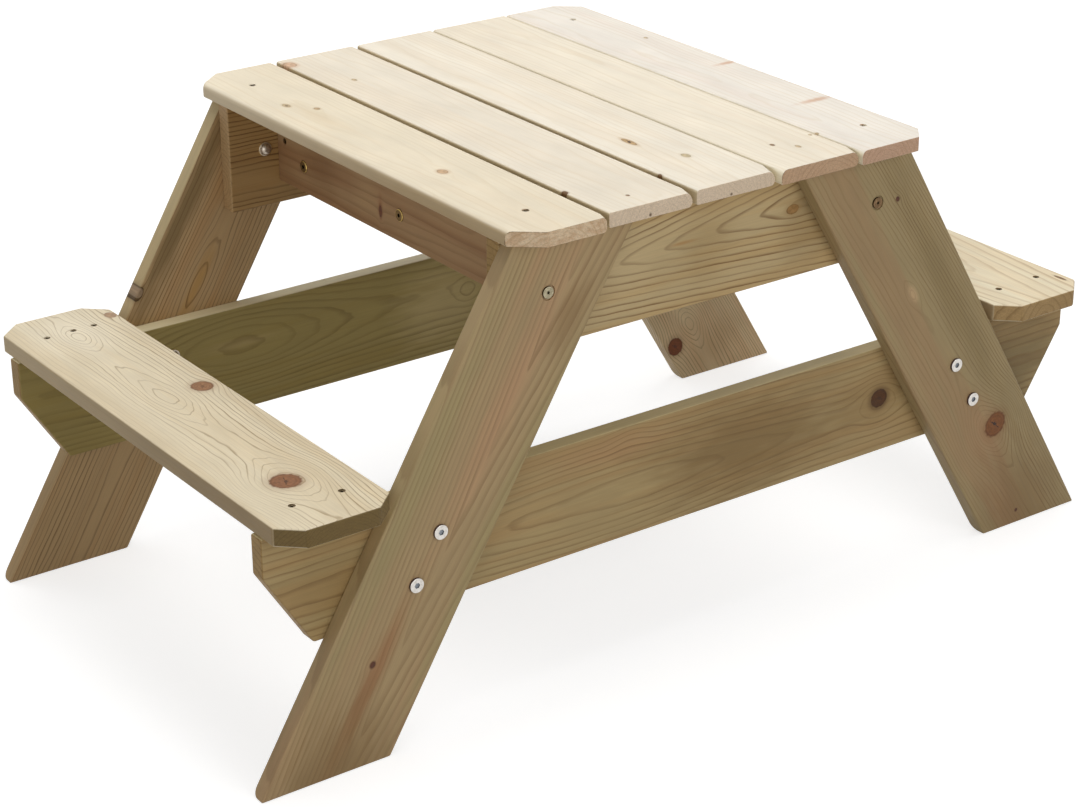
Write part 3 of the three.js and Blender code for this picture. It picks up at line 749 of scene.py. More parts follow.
BOARDS = {
    "table_plank_left": dict(
        TOP_WOOD, seed=11.0, early="#f0e3c9", heart="#ebd9bb", end="#dfc6a4", end_late="#cbab84",
        end_warm="#b5875c", end_blots=0.4, arris=0.8, edges=(OUTER_EDGE_SHADE_TONES, GAP_SHADE_TONES),
        knots=[
            knot(108, -3.5, 6.5, 5, "#d0ae88", stain=0.45),
            knot(-159.5, -17.5, 6, 3.5, PALE_KNOT, stain=0.5, crack=0.6),
            knot(-132, 2.5, 4, 3, "#c3a67c", stain=0.4),
        ],
        stains=[((-100, -10), (90, 20), "#dfc8a2", 0.4)],
    ),
    "lid_plank_left": dict(
        TOP_WOOD, seed=18.0, early="#f1e6d2", pith=(14, -30), pith_dot=(1, -4.5, 1.6),
        knots=[
            knot(266.5, -4, 2.2, 1.8, PIN_KNOT), knot(225, -46.5, 4, 3, "#75532f", stain=0.4),
            knot(-282, -42, 9, 7, "#d9b493", stain=0.5), knot(-194, -15, 4, 2.5, PALE_KNOT),
        ],
    ),
    "lid_plank_middle": dict(
        TOP_WOOD, seed=25.0, early="#f6ecd9", edges=(SHALLOW_GAP_SHADE_TONES, FAINT_GAP_SHADE_TONES), pith=(-30, -24),
        pith_dot=(-3, -5, 1.4),
        knots=[
            knot(143, -9, 12, 3.5, "#c2a070", stain=0.4, crack=1.0),
            knot(209, 10, 6, 4, "#cdb993", stain=0.3), knot(238, -46.5, 4, 3, "#85623c", stain=0.3),
        ],
    ),
    "lid_plank_right": dict(
        TOP_WOOD, seed=32.0, early="#f6ebd6", edges=(FAINT_GAP_SHADE_TONES, FAINT_GAP_SHADE_TONES), pith=(20, -28), end="#c5a382",
        end_late="#b08b69", arris=0.9,
        knots=[
            knot(234.5, -3.5, 3, 2.2, PIN_KNOT), knot(253, 14, 4, 2.5, PALE_KNOT, stain=0.2),
            knot(233, 47, 2.2, 1.8, PALE_KNOT),
        ],
    ),
    "table_plank_right": dict(
        TOP_WOOD, seed=39.0, early="#f5ede0", heart="#f3e5d6", pith=(-14, -24), end="#c8a488",
        end_late="#b58e70", edges=(FAINT_GAP_SHADE_TONES, OUTER_EDGE_SHADE_TONES),
        knots=[knot(-134, 25, 3, 2, PALE_KNOT), knot(233, -46, 2.5, 2, PALE_KNOT)],
        stains=[((-6, 36), (6, 24), "#d3a27f", 0.75), ((150, 24), (8, 34), "#d3a27f", 0.75)],
    ),
    "seat_left": dict(
        SEAT_WOOD, seed=2.0, early="#e8dabc", pith=(0, -34), ring_width=3.1, wander=13, contrast=0.9,
        quiet=(-42, 26, 0.3),
        knots=[
            knot(-28, 4, 36, 20, lift=-6), knot(-62, 0, 80, 26, lift=-6), knot(-223, -1, 32, 20, lift=-12),
            knot(199, -3, 15, 15, RED_KNOT, lift=-12, part=0.3, reach=2.7, crack=0.7),
            knot(-36.5, 41, 12, 11, "#9c7250", lift=-3, part=0.7, reach=2.0, crack=0.4),
            knot(-258, 54, 8, 6, "#b39272", part=0.6, stain=0.1),
        ],
        # The pale patch at the back end is painted light
        stains=[((-240, 0), (90, 70), "#f4e9d0", 0.6)],
    ),
    "seat_right": dict(
        SEAT_WOOD, seed=4.0, early="#f0e4c6", heart="#ead4af", late="#b3946a", end="#a88a5c",
        end_late="#80643c", ring_width=9.0, pith=(-6, -16), taper=0.01, line_start=0.5,
        knots=[
            knot(262, 52, 9, 2, "#8a6a48", part=0.3),
            knot(-120, 10, 11, 10, RED_KNOT, lift=-9, part=0.5, crack=1.0),
        ],
    ),
    "leg_front_left": dict(
        FRAME_WOOD, seed=20.0, early="#af966e", heart="#b48f6a", pith=(14, -6), taper=-0.0105, ring_width=6.8,
        wander=6, heart_share=0.5, eccentric=-0.25, line_start=0.25, contrast=0.45,
        knots=[knot(-165.5, -9, 3, 2.5, DARK_KNOT, part=0.6, reach=3.5, stain=0.8)],
        stains=[
            ((0, -48), (330, 26), "#a29468", 0.7), ((0, 54), (330, 18), "#a59769", 0.6),
            ((110, 6), (240, 26), "#be9570", 0.6), ((205, 34), (60, 24), "#8a6b42", 0.5),
            ((-185, -3), (150, 16), "#9c6c46", 0.7), ((-275, 0), (110, 80), "#866a42", 0.65),
        ],
    ),
    "leg_front_right": dict(
        FRAME_WOOD, seed=26.0, early="#a38f67", heart="#a2845f", pith=(-1.5, -28), ring_width=3.7,
        pith_slope=(-0.07, 0), wander=8, contrast=0.8, eccentric=0.15, quiet=(-6, 26, 0.45),
        knots=[
            knot(-122, -2, 60, 26, lift=-7),
            knot(-135.5, 13.5, 14, 15, "#7e4e27", lift=-18, part=0.3, reach=2.5, crack=1.0),
            knot(92, -8, 16, 9, lift=-5), knot(201, 24, 2.8, 2.3, DARK_KNOT, part=0.6, reach=3.0),
            knot(-258, -9.5, 2, 2, DARK_KNOT),
        ],
        stains=[
            ((-130, 0), (90, 40), "#ab8560", 0.5), ((60, 32), (320, 26), "#87734a", 0.55),
            ((-240, -20), (80, 30), "#ab8560", 0.5), ((92, -8), (16, 8), "#c3a47c", 0.8),
            ((-255, 0), (130, 80), "#836640", 0.6),
        ],
    ),
    "leg_back_left": dict(
        # The left edge goes from darker at the back to paler at the front: painted shade and light
        FRAME_WOOD, seed=31.0, edges=(("#a98d64", "#c2af85"), None), early="#bb9d72", heart="#b69163",
        late="#674a2b", pith=(3, -26), ring_width=4.2, wander=17, contrast=0.85,
        knots=[
            knot(60, 1, 45, 18, lift=-7), knot(-60, 52, 9, 8, BROWN_KNOT, part=0.6),
            knot(21.5, -60.5, 8.5, 5, "#57401f", lift=-3, part=0.3, reach=1.6),
            knot(22.5, -60.5, 5.8, 3.4, "#9a8266", lift=0, part=0, reach=1, stain=0.0),
        ],
        stains=[((50, 2), (70, 10), "#b8893f", 0.55), ((120, -50), (200, 20), "#806a45", 0.9)],
    ),
    # This leg stands in the table's shade: its paler wood and its pale patch are painted light, and the
    # darker patch nearer its foot painted shade
    "leg_back_right": dict(
        FRAME_WOOD, seed=36.0, early="#e0c79d", heart="#dab78b", pith=(-14, -36), ring_width=3.2, wander=8,
        contrast=0.8,
        knots=[
            knot(-188.5, -14, 28, 23, lift=-12),
            knot(-200, -46, 12, 11, "#743c14", lift=-4, part=0.6, crack=0.6),
        ],
        stains=[((-165, -10), (40, 44), "#f6e2b6", 0.5), ((-240, 0), (40, 70), "#c4a67c", 0.6)],
    ),
    "bench_rail_front": dict(
        # The top edge is tinted paler: painted light
        FRAME_WOOD, seed=41.0, edges=(None, ("#d6c493", "#e6d6a8")), early="#ad9669", heart="#aa8a5b",
        pith=(-8, -14), taper=0.0, ring_width=6.5, wander=8, first_ring=0.28, line_start=0.5,
        knots=[
            knot(-120, -8, 205, 60, lift=-19.5), knot(-150, -8, 60, 22, lift=3),
            knot(238, 1.7, 11, 10, "#4a2800", lift=-16, part=0.3, reach=2.4, crack=0.5, stain=0.5),
            knot(-90, 48, 24, 14, lift=-7),
        ],
        # The dark patch at the right end is painted shade under the right seat
        stains=[
            ((-110, 40), (110, 22), "#ad865c", 0.6), ((60, 0), (190, 90), "#7d6238", 0.75),
            ((230, 2), (80, 50), "#94774a", 0.7), ((440, 0), (110, 90), "#7a6844", 0.8),
            ((-450, 0), (70, 70), "#8c7446", 0.5),
        ],
    ),
    "bench_rail_back": dict(
        # The top edge is tinted paler: painted light
        FRAME_WOOD, seed=44.0, edges=(None, ("#ecdfb8", "#fbf2d8")), early="#9e8c54", heart="#998448",
        late="#66532c", pith=(16, -56), ring_width=4.6, taper=0.0, wander=6, contrast=0.6, line_start=0.35,
        knots=[knot(-248, 18, 125, 48, lift=-22), knot(53, 9.5, 16, 15, lift=-9)],
        # The pale patches in the middle and to the right are painted light
        stains=[
            ((-250, 18), (60, 10), "#b09a66", 0.6), ((20, 0), (90, 80), "#c2ae7c", 0.7),
            ((260, 0), (190, 90), "#cdb882", 0.85),
        ],
    ),
    "sandbox_end_front": dict(
        FRAME_WOOD, seed=51.0, early="#c1aa7e", heart="#bd9e6b", late="#6b4a22", pith=(11, -3),
        pith_slope=(0.06, 0), taper=-0.018, ring_width=6.6, wander=4, contrast=0.85, line_start=0.55,
        first_ring=0.28,
        knots=[knot(108, 12.5, 8, 5, "#9a7442", part=0.4)],
        # The pale patch at the left and the darker one at the right are painted light falling off to the
        # right
        stains=[
            ((-30, 8), (26, 3), "#b07c3c", 0.6), ((130, 0), (60, 70), "#8a7044", 0.5),
            ((0, 0), (50, 60), "#a88c5c", 0.5), ((-100, 0), (50, 50), "#cdb68a", 0.5),
        ],
    ),
    "sandbox_end_back": dict(
        FRAME_WOOD, seed=54.0, early="#a68555", heart="#9c7848", late="#553819", pith=(-30, -12),
        ring_width=4.6, wander=12, contrast=0.9, end="#ba9a6f", end_late="#9a7a54", line_start=0.5,
    ),
    "sandbox_side_left": dict(
        BOX_WOOD, seed=61.0, contrast=0.4,
        knots=[knot(-35.5, -24, 2.5, 6, "#6b3f28", part=0.5, stain=0.5)],
        stains=[
            ((-35.5, -20), (7, 22), "#8a4f33", 0.6), ((-62, -12), (40, 30), "#b3936a", 0.6),
            ((-150, 0), (50, 60), "#83603e", 0.6),
        ],
    ),
    "sandbox_side_right": dict(
        BOX_WOOD, seed=64.0,
        knots=[knot(90, 12, 7, 6, "#8a5a3c", lift=-3, part=0.5)],
    ),
}


def middle(node):
    low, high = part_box(node)
    return (low + high) / 2


def grown(node, along, across):
    """The wood of one board, with its own grain and knots, and torn fibres round its screws."""
    look = dict(BOARDS[node])
    blotches = [(place, (5, 3.5), "#8b7450", 0.45) for place in SCREWS.get(node, ())]
    look["stains"] = list(look.get("stains", ())) + blotches
    return timber("treated pine " + node.replace("_", " "), middle(node), along, across, look)


# Boards


def stock(node, kind="board"):
    """The squared timber that fills a node's box, and the box's corners."""
    low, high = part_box(node)
    return block(f"{node}_{kind}", low, high), low, high


def on_face(node, board, outward, sunk=0):
    """Where a fastener's axis meets the board's face that looks outward, sunk into it by some millimetres."""
    axis = max(range(3), key=lambda index: abs(outward[index]))
    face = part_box(board)[outward[axis] > 0][axis]
    place = middle(node)
    place[axis] = face - outward[axis] * sunk * MM
    return place


def sink_hole(piece, board, node, outward, diameter, depth):
    """A round hole in a board's face, for the head of a fastener."""
    start, end = on_face(node, board, outward, -1), on_face(node, board, outward, depth)
    cut_away(piece, rod("hole", diameter, start, end))


def drill(board, nodes, start, end):
    """Bolt holes through a board, along X."""
    for node in nodes:
        place = middle(node)
        near = Vector((start - MM, place.y, place.z))
        far = Vector((end + MM, place.y, place.z))
        cut_away(board, rod("drill", BOLT_HOLE, near, far, HOLE_SIDES))


def clip_corner(board, end, reach, edge, facing, length, width):
    """Saws a corner off a board that lies along X: so long along it and so wide across it."""
    corner = Vector((end * (reach - length * MM), edge, 0))
    saw_off(board, corner, Vector((end * width, facing * length, 0)).normalized())


def wear_corner(plank, corner, side, radius, inset, rise):
    """Cuts a corner round along one edge of a plank's front end, more and more towards the end.

    side is 1 for the right edge and -1 for the left; rise is 1 above and -1 below.
    """
    start = corner - X * WEAR_LENGTH * MM
    for step in range(1, WEAR_STEPS):
        angle = math.pi / 2 * step / WEAR_STEPS
        across, up = math.sin(angle), math.cos(angle)
        pace = (radius * (across + up - 1) + inset * across) / WEAR_LENGTH
        saw_off(plank, start, Vector((pace, side * across, rise * up)).normalized())


def tabletop_planks():
    for node, worn in WORN_CORNERS.items():
        low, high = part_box(node)
        high.x -= PLANK_SHORT.get(node, 0) * MM
        left, right = PLANK_SIDES[node]
        low.y += left * MM
        high.y += right * MM
        plank = block(node + "_board", low, high)
        fixed = node.startswith("table")
        side = 1 if node.endswith("right") else -1
        outer = high.y if side > 0 else low.y
        if fixed:
            for end in ENDS.values():
                width = SMALL_CLIP_WIDTH if end > 0 and side > 0 else TOP_CLIP_WIDTH
                clip_corner(plank, end, high.x, outer, side, TOP_CLIP_LENGTH, width)

        def rounding(a, b):
            if abs(a.y - b.y) > LEVEL or abs(a.z - b.z) > LEVEL:
                return 0.0
            above, right = a.z > (low.z + high.z) / 2, a.y > (low.y + high.y) / 2
            if above and fixed and abs(a.y - outer) < MM:
                return 1.0
            width = PLANK_RIGHT_ROUND.get(node, PLANK_ROUND) if above and right else PLANK_ROUND
            return width / PLANK_OUTER_ROUND

        ease_edges(plank, PLANK_OUTER_ROUND, ROUND_STEPS, rounding)
        for worn_side, (over, under, inset) in worn.items():
            edge = high.y if worn_side > 0 else low.y
            if inset:
                start = Vector((high.x - WEAR_LENGTH * MM, edge, 0))
                saw_off(plank, start, Vector((inset / WEAR_LENGTH, worn_side, 0)).normalized())
            wear_corner(plank, Vector((high.x, edge, high.z)), worn_side, over, inset, 1)
            wear_corner(plank, Vector((high.x, edge, low.z)), worn_side, under, inset, -1)
        ease_corners(plank, PLANK_END_EASE)
        dress(plank, node, "table" if fixed else "lid", "pale_wood", grown(node, X, Y))


def seats():
    for name in SIDES:
        node = f"seat_{name}"
        seat, low, high = stock(node)
        for end in ENDS.values():
            for edge, facing in ((low.y, -1), (high.y, 1)):
                clip_corner(seat, end, high.x, edge, facing, SEAT_CLIP_LENGTH, SEAT_CLIP_WIDTH)
        ease_edges(seat, SEAT_ROUND)
        dress(seat, node, "table", "pale_wood", grown(node, X, Y))


def legs():
    for end, side in CORNERS:
        node = f"leg_{end}_{side}"
        lean = SIDES[side] * LEG_LEAN
        low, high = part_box(node)
        tops = [v.co.y for v in frame["nodes"][node].data.vertices if v.co.z > high.z - MM]
        leg = block(node + "_board", Vector((low.x, min(tops), low.z)), Vector((high.x, max(tops), high.z)))
        select_parts(leg, "VERT", lambda point: point.z < low.z + MM)
        bpy.ops.transform.translate(value=(0, math.tan(lean) * (high.z - low.z), 0))
        bpy.ops.object.mode_set(mode="OBJECT")
        round_edges(
            leg, lambda point: point.z < low.z + MM and point.x < low.x + MM, FOOT_ROUND, FOOT_STEPS,
        )
        ease_corners(leg, BOARD_ROUND)
        bolts = [f"leg_bolt_{end}_{side}_{at}" for at in BOLT_ROWS]
        drill(leg, bolts, low.x, high.x)
        sink_hole(leg, node, bolts[0], ENDS[end] * X, SUNK_BORE, SUNK_DEPTH)
        along = Vector((0, -math.sin(lean), math.cos(lean)))
        across = Vector((0, math.cos(lean), math.sin(lean)))
        dress(leg, node, "table", "frame_wood", grown(node, along, across))


def bench_rails():
    for end_name in ENDS:
        node = f"bench_rail_{end_name}"
        rail, low, high = stock(node)
        drop = high.z - low.z - RAIL_END_HEIGHT * MM
        for side in SIDES.values():
            corner = Vector((0, side * (high.y - RAIL_CLIP_RUN * MM), low.z))
            saw_off(rail, corner, Vector((0, side * drop, -RAIL_CLIP_RUN * MM)).normalized())
        ease_edges(rail, BOARD_ROUND)
        bolts = [f"leg_bolt_{end_name}_{side}_{at}" for side in SIDES for at in BOLT_ROWS[1:]]
        drill(rail, bolts, low.x, high.x)
        dress(rail, node, "table", "frame_wood", grown(node, Y, Z))


def sandbox_ends():
    for end_name in ENDS:
        node = f"sandbox_end_{end_name}"
        board, low, high = stock(node)
        ease_edges(board, BOARD_ROUND)
        drill(board, [f"leg_bolt_{end_name}_{side}_{BOLT_ROWS[0]}" for side in SIDES], low.x, high.x)
        dress(board, node, "table", "frame_wood", grown(node, Y, Z))


def sandbox_sides():
    for side_name, side in SIDES.items():
        node = f"sandbox_side_{side_name}"
        board = stock(node)[0]
        ease_edges(board, BATTEN_ROUND)
        for at in LEDGER_SCREWS:
            screw = f"ledger_screw_{side_name}_{at}"
            sink_hole(board, node, screw, side * Y, CUP + FIT, CUP_HEIGHT - CUP_PROUD)
        for end_name in ENDS:
            screw = f"corner_screw_{end_name}_{side_name}"
            sink_hole(board, node, screw, side * Y, SCREW_HEAD + FIT, SCREW_SINK + SCREW_HEAD_HEIGHT)
        dress(board, node, "table", "box_wood", grown(node, X, Z))


def battens():
    """The cleats, ledgers and corner blocks, square-cut from small stock."""
    plain = [(f"lid_cleat_{end}", "lid", "pale_wood", Y, X, SEAT_WOOD) for end in ENDS]
    plain += [(f"floor_ledger_{side}", "table", "box_wood", X, Z, BOX_WOOD) for side in SIDES]
    plain += [(f"corner_block_{end}_{side}", "table", "box_wood", Z, X, BOX_WOOD) for end, side in CORNERS]
    for index, (node, body, slot, along, across, kind) in enumerate(plain):
        batten = stock(node, "batten")[0]
        ease_edges(batten, BATTEN_ROUND, steps=2)
        wood = timber(f"sawn pine {node}", middle(node), along, across, dict(kind, seed=71.0 + 3 * index))
        dress(batten, node, body, slot, wood)


def sandbox_floor():
    """Carried over from the frame as it is: a thin sheet with notches and drain holes."""
    wood = timber("birch plywood floor", middle("sandbox_floor"), X, Y, dict(SHEET_WOOD, seed=101.0))
    sheet = frame["nodes"]["sandbox_floor"]
    sheet.data.materials.clear()
    sheet.data.materials.append(wood)


# Fasteners, each kind modelled once pointing along +Z from the origin, then copied


def turned(name, diameter, bottom, top, sides=TURNED_SIDES):
    """A rod along Z between two heights in millimetres."""
    return rod(name, diameter, Vector((0, 0, bottom * MM)), Vector((0, 0, top * MM)), sides)


def copies(master, slot, places):
    """Puts copies at (name, node, body, place, outward, finishes), and removes the master."""
    for name, node, body, place, outward, finishes in places:
        piece = master.copy()
        piece.data = master.data.copy()
        piece.name = piece.data.name = name
        bpy.context.scene.collection.objects.link(piece)
        turn = Z.rotation_difference(outward).to_matrix().to_4x4()
        piece.data.transform(Matrix.Translation(place) @ turn)
        dress(piece, node, body, slot, *finishes)
    bpy.data.objects.remove(master)


def round_rim(piece, height, width, steps=ROUND_STEPS):
    """Rounds the rim at one height of a turned piece."""
    round_edges(piece, lambda point: abs(point.z - height * MM) < LEVEL, width, steps)


def share_out(piece, finishes, choose):
    """Gives each face the finish whose number the test returns."""
    for finish in finishes:
        piece.data.materials.append(finish)
    for face in piece.data.polygons:
        face.material_index = choose(face.center.to_2d().length / MM, face.center.z / MM)


def bolt(name, width, height, socket, finishes, rings):
    """A flat round head with a softened rim, turned rings and a hex socket, and its shank."""
    head = turned(name + " head", width, 0, height)
    round_rim(head, height, BOLT_RIM)
    select_parts(head, "VERT", lambda point: abs(point.z - height * MM) < LEVEL)
    bpy.ops.mesh.select_mode(type="FACE")
    for wide, drop in rings:
        bpy.ops.mesh.inset(thickness=wide * MM, depth=-drop * MM)
    bpy.ops.object.mode_set(mode="OBJECT")
    cut_away(head, turned("socket", socket, height - BOLT_SOCKET_DEPTH, height + 1, SOCKET_SIDES))
    rim = height - BOLT_SOCKET_START
    # The socket's inside takes the second, darker finish: painted shade
    share_out(head, finishes, lambda reach, rise: int(reach < socket / 2 and rise < rim))
    stack = (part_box("leg_front_left")[1].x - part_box("sandbox_end_front")[0].x) / MM
    end = -stack - BOLT_INTO_NUT
    return join(name, [head, turned("bolt shank", BOLT_SHANK, end, BOLT_SHANK_OVERLAP, FASTENER_SIDES)])


def leg_bolts():
    bright, aged = (BRIGHT_ZINC, SHADED_SOCKET_ZINC), (AGED_AND_SHADED_ZINC, SHADED_SOCKET)
    proud = bolt("leg bolt", BOLT_HEAD, BOLT_HEAD_HEIGHT, BOLT_SOCKET, bright, BOLT_RINGS)
    sunk = bolt("sunk leg bolt", SUNK_HEAD, SUNK_HEAD_HEIGHT, SUNK_SOCKET, aged, SUNK_RINGS)
    proud_places, sunk_places = [], []
    for end, side in CORNERS:
        outward = ENDS[end] * X
        for at in BOLT_ROWS:
            node = f"leg_bolt_{end}_{side}_{at}"
            # The top bolts take the darker zinc: dull plating, and partly painted shade under the tabletop
            if at == BOLT_ROWS[0]:
                finish = (STAINED_AND_SHADED_ZINC, SHADED_SOCKET) if side == "right" else aged
                places, depth = sunk_places, SUNK_DEPTH
            else:
                finish, places, depth = bright, proud_places, 0
            place = on_face(node, f"leg_{end}_{side}", outward, depth)
            places.append((node + "_bolt", node, "table", place, outward, finish))
    copies(proud, "zinc_steel", proud_places)
    copies(sunk, "zinc_steel", sunk_places)


def cap_nuts():
    """A dome on a flange, in lit and shaded copies of one zinc: the flange painted lit, the dome painted in
    shade.
    """
    flange = turned("cap nut", NUT, 0, NUT_FLANGE)
    round_rim(flange, NUT_FLANGE, NUT_RIM)
    dome = turned("dome", NUT_DOME, NUT_FLANGE / 2, NUT_HEIGHT)
    round_rim(dome, NUT_HEIGHT, NUT_DOME_ROUND, NUT_DOME_STEPS)
    nut = join("cap nut", [flange, dome])
    finishes = (LIT_FLANGE_ZINC, SHADED_NUT_ZINC)
    share_out(nut, finishes, lambda reach, rise: int(reach < NUT_DOME / 2 + MARGIN))
    places = []
    for end, side in CORNERS:
        outward = -ENDS[end] * X
        for at in BOLT_ROWS:
            node = f"leg_nut_{end}_{side}_{at}"
            board = ("sandbox_end_" if at == BOLT_ROWS[0] else "bench_rail_") + end
            place = on_face(node, board, outward)
            places.append((node + "_cap", node, "table", place, outward, finishes))
    copies(nut, "zinc_steel", places)


def ledger_screws():
    """A yellow head that stands just out of its hole, with a small bore and a bright rim: its face painted
    darker and browner as painted reflection of the wood, and its flank painted in shade.
    """
    head = turned("ledger screw", CUP, -CUP_HEIGHT, 0, CUP_SIDES)
    round_rim(head, 0, CUP_RIM)
    cut_away(head, turned("bore", CUP_BORE, -CUP_BORE_DEPTH, 1, FASTENER_SIDES))
    finishes = (YELLOW_ZINC, REFLECTING_YELLOW_FACE, SHADED_YELLOW_FLANK, SHADED_SOCKET)

    def choose(reach, rise):
        if reach < CUP_BORE / 2 + MARGIN and rise < -MARGIN:
            return finishes.index(SHADED_SOCKET)
        if rise < -CUP_RIM_DEPTH:
            return finishes.index(SHADED_YELLOW_FLANK)
        # The face inside the rim takes the darker, browner finish: painted reflection of the wood
        worn = rise > -CUP_FACE_DEPTH and reach < CUP / 2 - CUP_RIM
        return finishes.index(REFLECTING_YELLOW_FACE if worn else YELLOW_ZINC)

    share_out(head, finishes, choose)
    top = SHANK_OVERLAP - CUP_HEIGHT
    shank = turned("ledger shank", LEDGER_SHANK, -LEDGER_SCREW_LENGTH, top, FASTENER_SIDES)
    screw = join("ledger screw", [head, shank])
    places = []
    for side_name, side in SIDES.items():
        for at in LEDGER_SCREWS:
            node = f"ledger_screw_{side_name}_{at}"
            place = on_face(node, f"sandbox_side_{side_name}", side * Y, -CUP_PROUD)
            places.append((node + "_head", node, "table", place, side * Y, finishes))
    copies(screw, "yellow_zinc", places)


def wood_screw(name, finishes):
    """A countersunk wood screw with a cross recess; its head's face is at the origin."""
    deselect_all()
    bpy.ops.mesh.primitive_cone_add(
        vertices=FASTENER_SIDES, radius1=SCREW_SHANK * MM / 2, radius2=SCREW_HEAD * MM / 2,
        depth=SCREW_HEAD_HEIGHT * MM, location=(0, 0, -SCREW_HEAD_HEIGHT * MM / 2),
    )
    head = bpy.context.active_object
    bpy.ops.object.transform_apply(location=True, rotation=True, scale=True)
    half_long, half_wide, depth = CROSS_LENGTH * MM / 2, CROSS_WIDTH * MM / 2, CROSS_DEPTH * MM
    for half_x, half_y in ((half_long, half_wide), (half_wide, half_long)):
        cut_away(head, block("cross", Vector((-half_x, -half_y, -depth)), Vector((half_x, half_y, MM))))
    cross = CROSS_LENGTH / 2 + 2 * MARGIN
    # The cross recess takes the second, darker finish: painted shade
    share_out(head, finishes, lambda reach, rise: int(reach < cross and rise < -MARGIN))
    top = SHANK_OVERLAP - SCREW_HEAD_HEIGHT
    return join(name, [head, turned("shank", SCREW_SHANK, -SCREW_LENGTH, top, SHANK_SIDES)])


def corner_screws():
    finishes = (REFLECTING_YELLOW_FACE, SHADED_SOCKET)
    places = []
    for side_name, side in SIDES.items():
        for end_name in ENDS:
            node = f"corner_screw_{end_name}_{side_name}"
            place = on_face(node, f"sandbox_side_{side_name}", side * Y, SCREW_SINK)
            places.append((node + "_head", node, "table", place, side * Y, finishes))
    copies(wood_screw("corner screw", finishes), "yellow_zinc", places)


def screw_down(board_name, spots, body, outward, finishes, places):
    """Countersinks a board at each spot and notes where its screws go."""
    board = bpy.data.objects[board_name]
    for index, spot in enumerate(spots):
        place = spot - outward * SCREW_SINK * MM
        above = place + outward * (SCREW_SINK + 1) * MM
        below = place - outward * SCREW_HEAD_HEIGHT * MM
        cut_away(board, rod("countersink", SCREW_HEAD + FIT, above, below, COUNTERSINK_SIDES))
        places.append((f"{board_name}_screw_{index + 1}", None, body, place, outward, finishes))


def wood_screws():
    """Screws down through the outer planks and seats, and up through the lid's cleats."""
    dull, clean = (SCREW_ZINC, CROSS_SHADE), (PALE_SCREW, SCREW_ZINC)
    places = []
    for node, spots in SCREWS.items():
        centre, top = middle(node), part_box(node)[1].z
        spots = [Vector((x * MM, centre.y + y * MM, top)) for x, y in spots]
        screw_down(node + "_board", spots, "table", Z, clean if node == "table_plank_right" else dull, places)
    for end_name in ENDS:
        node = f"lid_cleat_{end_name}"
        centre, under = middle(node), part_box(node)[0].z
        rows = [middle(f"lid_plank_{plank}").y for plank in ("left", "middle", "right")]
        half = CLEAT_SCREW_SPREAD * MM / 2
        spots = [Vector((centre.x, row + offset, under)) for row in rows for offset in (-half, half)]
        screw_down(node + "_batten", spots, "lid", -Z, clean, places)
    copies(wood_screw("wood screw", dull), "zinc_steel", places)


# Stage: floor, light and camera


def white_to_camera(tree):
    """1 for rays from the camera and in reflections, 0 for the rays that light the table."""
    path = add(tree, "ShaderNodeLightPath").outputs
    seen = calc(tree, "MAXIMUM", path["Is Camera Ray"], path["Is Glossy Ray"])
    return calc(tree, "MAXIMUM", seen, path["Is Transmission Ray"])


def stage():
    deselect_all()
    bpy.ops.mesh.primitive_plane_add(size=FLOOR_SIZE, location=(0, 0, 0))
    floor = bpy.context.active_object
    floor.name = "studio_floor"
    material, tree = new_material("matte studio floor")
    # Shadows show round the table, and the floor past the lamps' reach is as white as the backdrop
    away = measure(tree, "LENGTH", add(tree, "ShaderNodeTexCoord").outputs["Object"])
    level = ramp(tree, away, FLOOR_NEAR, FLOOR_FAR, FLOOR_GLOW)
    principled(tree, {
        "Base Color": linear(FLOOR_COLOUR), "Roughness": 0.9, "Specular IOR Level": 0.0,
        "Emission Color": (1, 1, 1, 1), "Emission Strength": product(tree, white_to_camera(tree), level),
    })
    floor.data.materials.append(material)


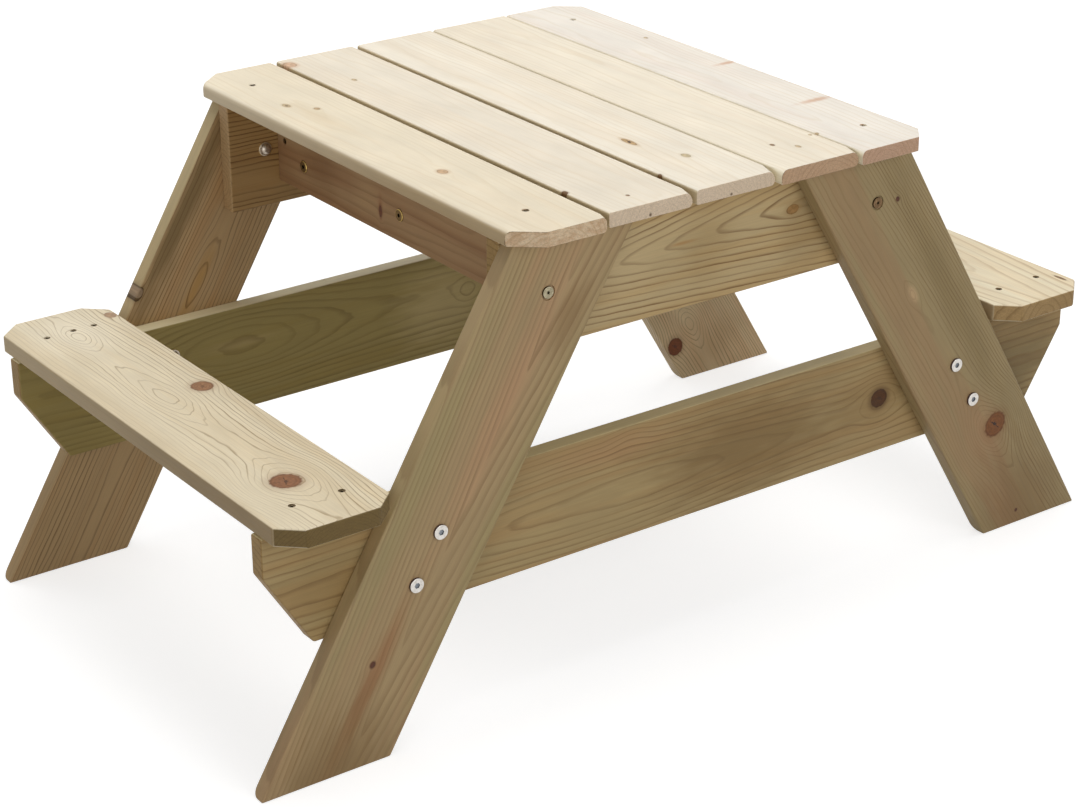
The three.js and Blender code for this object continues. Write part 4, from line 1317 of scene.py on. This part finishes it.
def lamp(name, place, aim_height, size, power):
    """A softbox that looks at a point above the origin."""
    light = bpy.data.lights.new(name, "AREA")
    light.shape = "SQUARE"
    light.size = size
    light.energy = power
    holder = bpy.data.objects.new(name, light)
    holder.location = place
    holder.rotation_euler = (Z * aim_height - Vector(place)).to_track_quat("-Z", "Y").to_euler()
    bpy.context.scene.collection.objects.link(holder)


def lights():
    scene = bpy.context.scene
    scene.view_settings.view_transform = "Standard"
    scene.world = bpy.data.worlds.new("white studio")
    scene.world.use_nodes = True
    tree = scene.world.node_tree
    tree.nodes.clear()
    strength = ramp(tree, white_to_camera(tree), 0.0, 1.0, AMBIENT)
    backdrop = add(tree, "ShaderNodeBackground", {"Color": (1, 1, 1, 1), "Strength": strength})
    add(tree, "ShaderNodeOutputWorld", {"Surface": backdrop.outputs[0]})
    lamp("overhead softbox", (-0.1, 0.2, 3.0), 0.3, 2.0, 42)
    lamp("front softbox", (3.2, 0.6, 1.5), 0.25, 1.8, 24)
    lamp("left fill", (2.3, -2.7, 0.9), 0.25, 2.0, 21)
    lamp("rear softbox", (-2.7, -0.5, 2.2), 0.3, 1.8, 16)


def camera():
    """The photograph's view."""
    forward = Vector((
        math.cos(CAMERA_HEADING) * math.cos(CAMERA_PITCH),
        math.sin(CAMERA_HEADING) * math.cos(CAMERA_PITCH),
        math.sin(CAMERA_PITCH),
    ))
    level = forward.cross(Z).normalized()
    right = Matrix.Rotation(-CAMERA_ROLL, 3, forward) @ level
    up = right.cross(forward)
    data = bpy.data.cameras.new("photo camera")
    data.lens = FOCAL_LENGTH
    data.sensor_width = SENSOR_WIDTH
    holder = bpy.data.objects.new("photo camera", data)
    turn = Matrix((right, up, -forward)).transposed().to_4x4()
    holder.matrix_world = Matrix.Translation(CAMERA_PLACE) @ turn
    bpy.context.scene.collection.objects.link(holder)
    bpy.context.scene.camera = holder


camera()
lights()
stage()
tabletop_planks()
seats()
legs()
bench_rails()
sandbox_ends()
sandbox_sides()
battens()
sandbox_floor()
leg_bolts()
cap_nuts()
ledger_screws()
corner_screws()
wood_screws()
# The holes cut since a board was dressed need shading too
for piece in bpy.data.objects:
    if piece.name.endswith(("_board", "_batten")):
        smooth(piece)
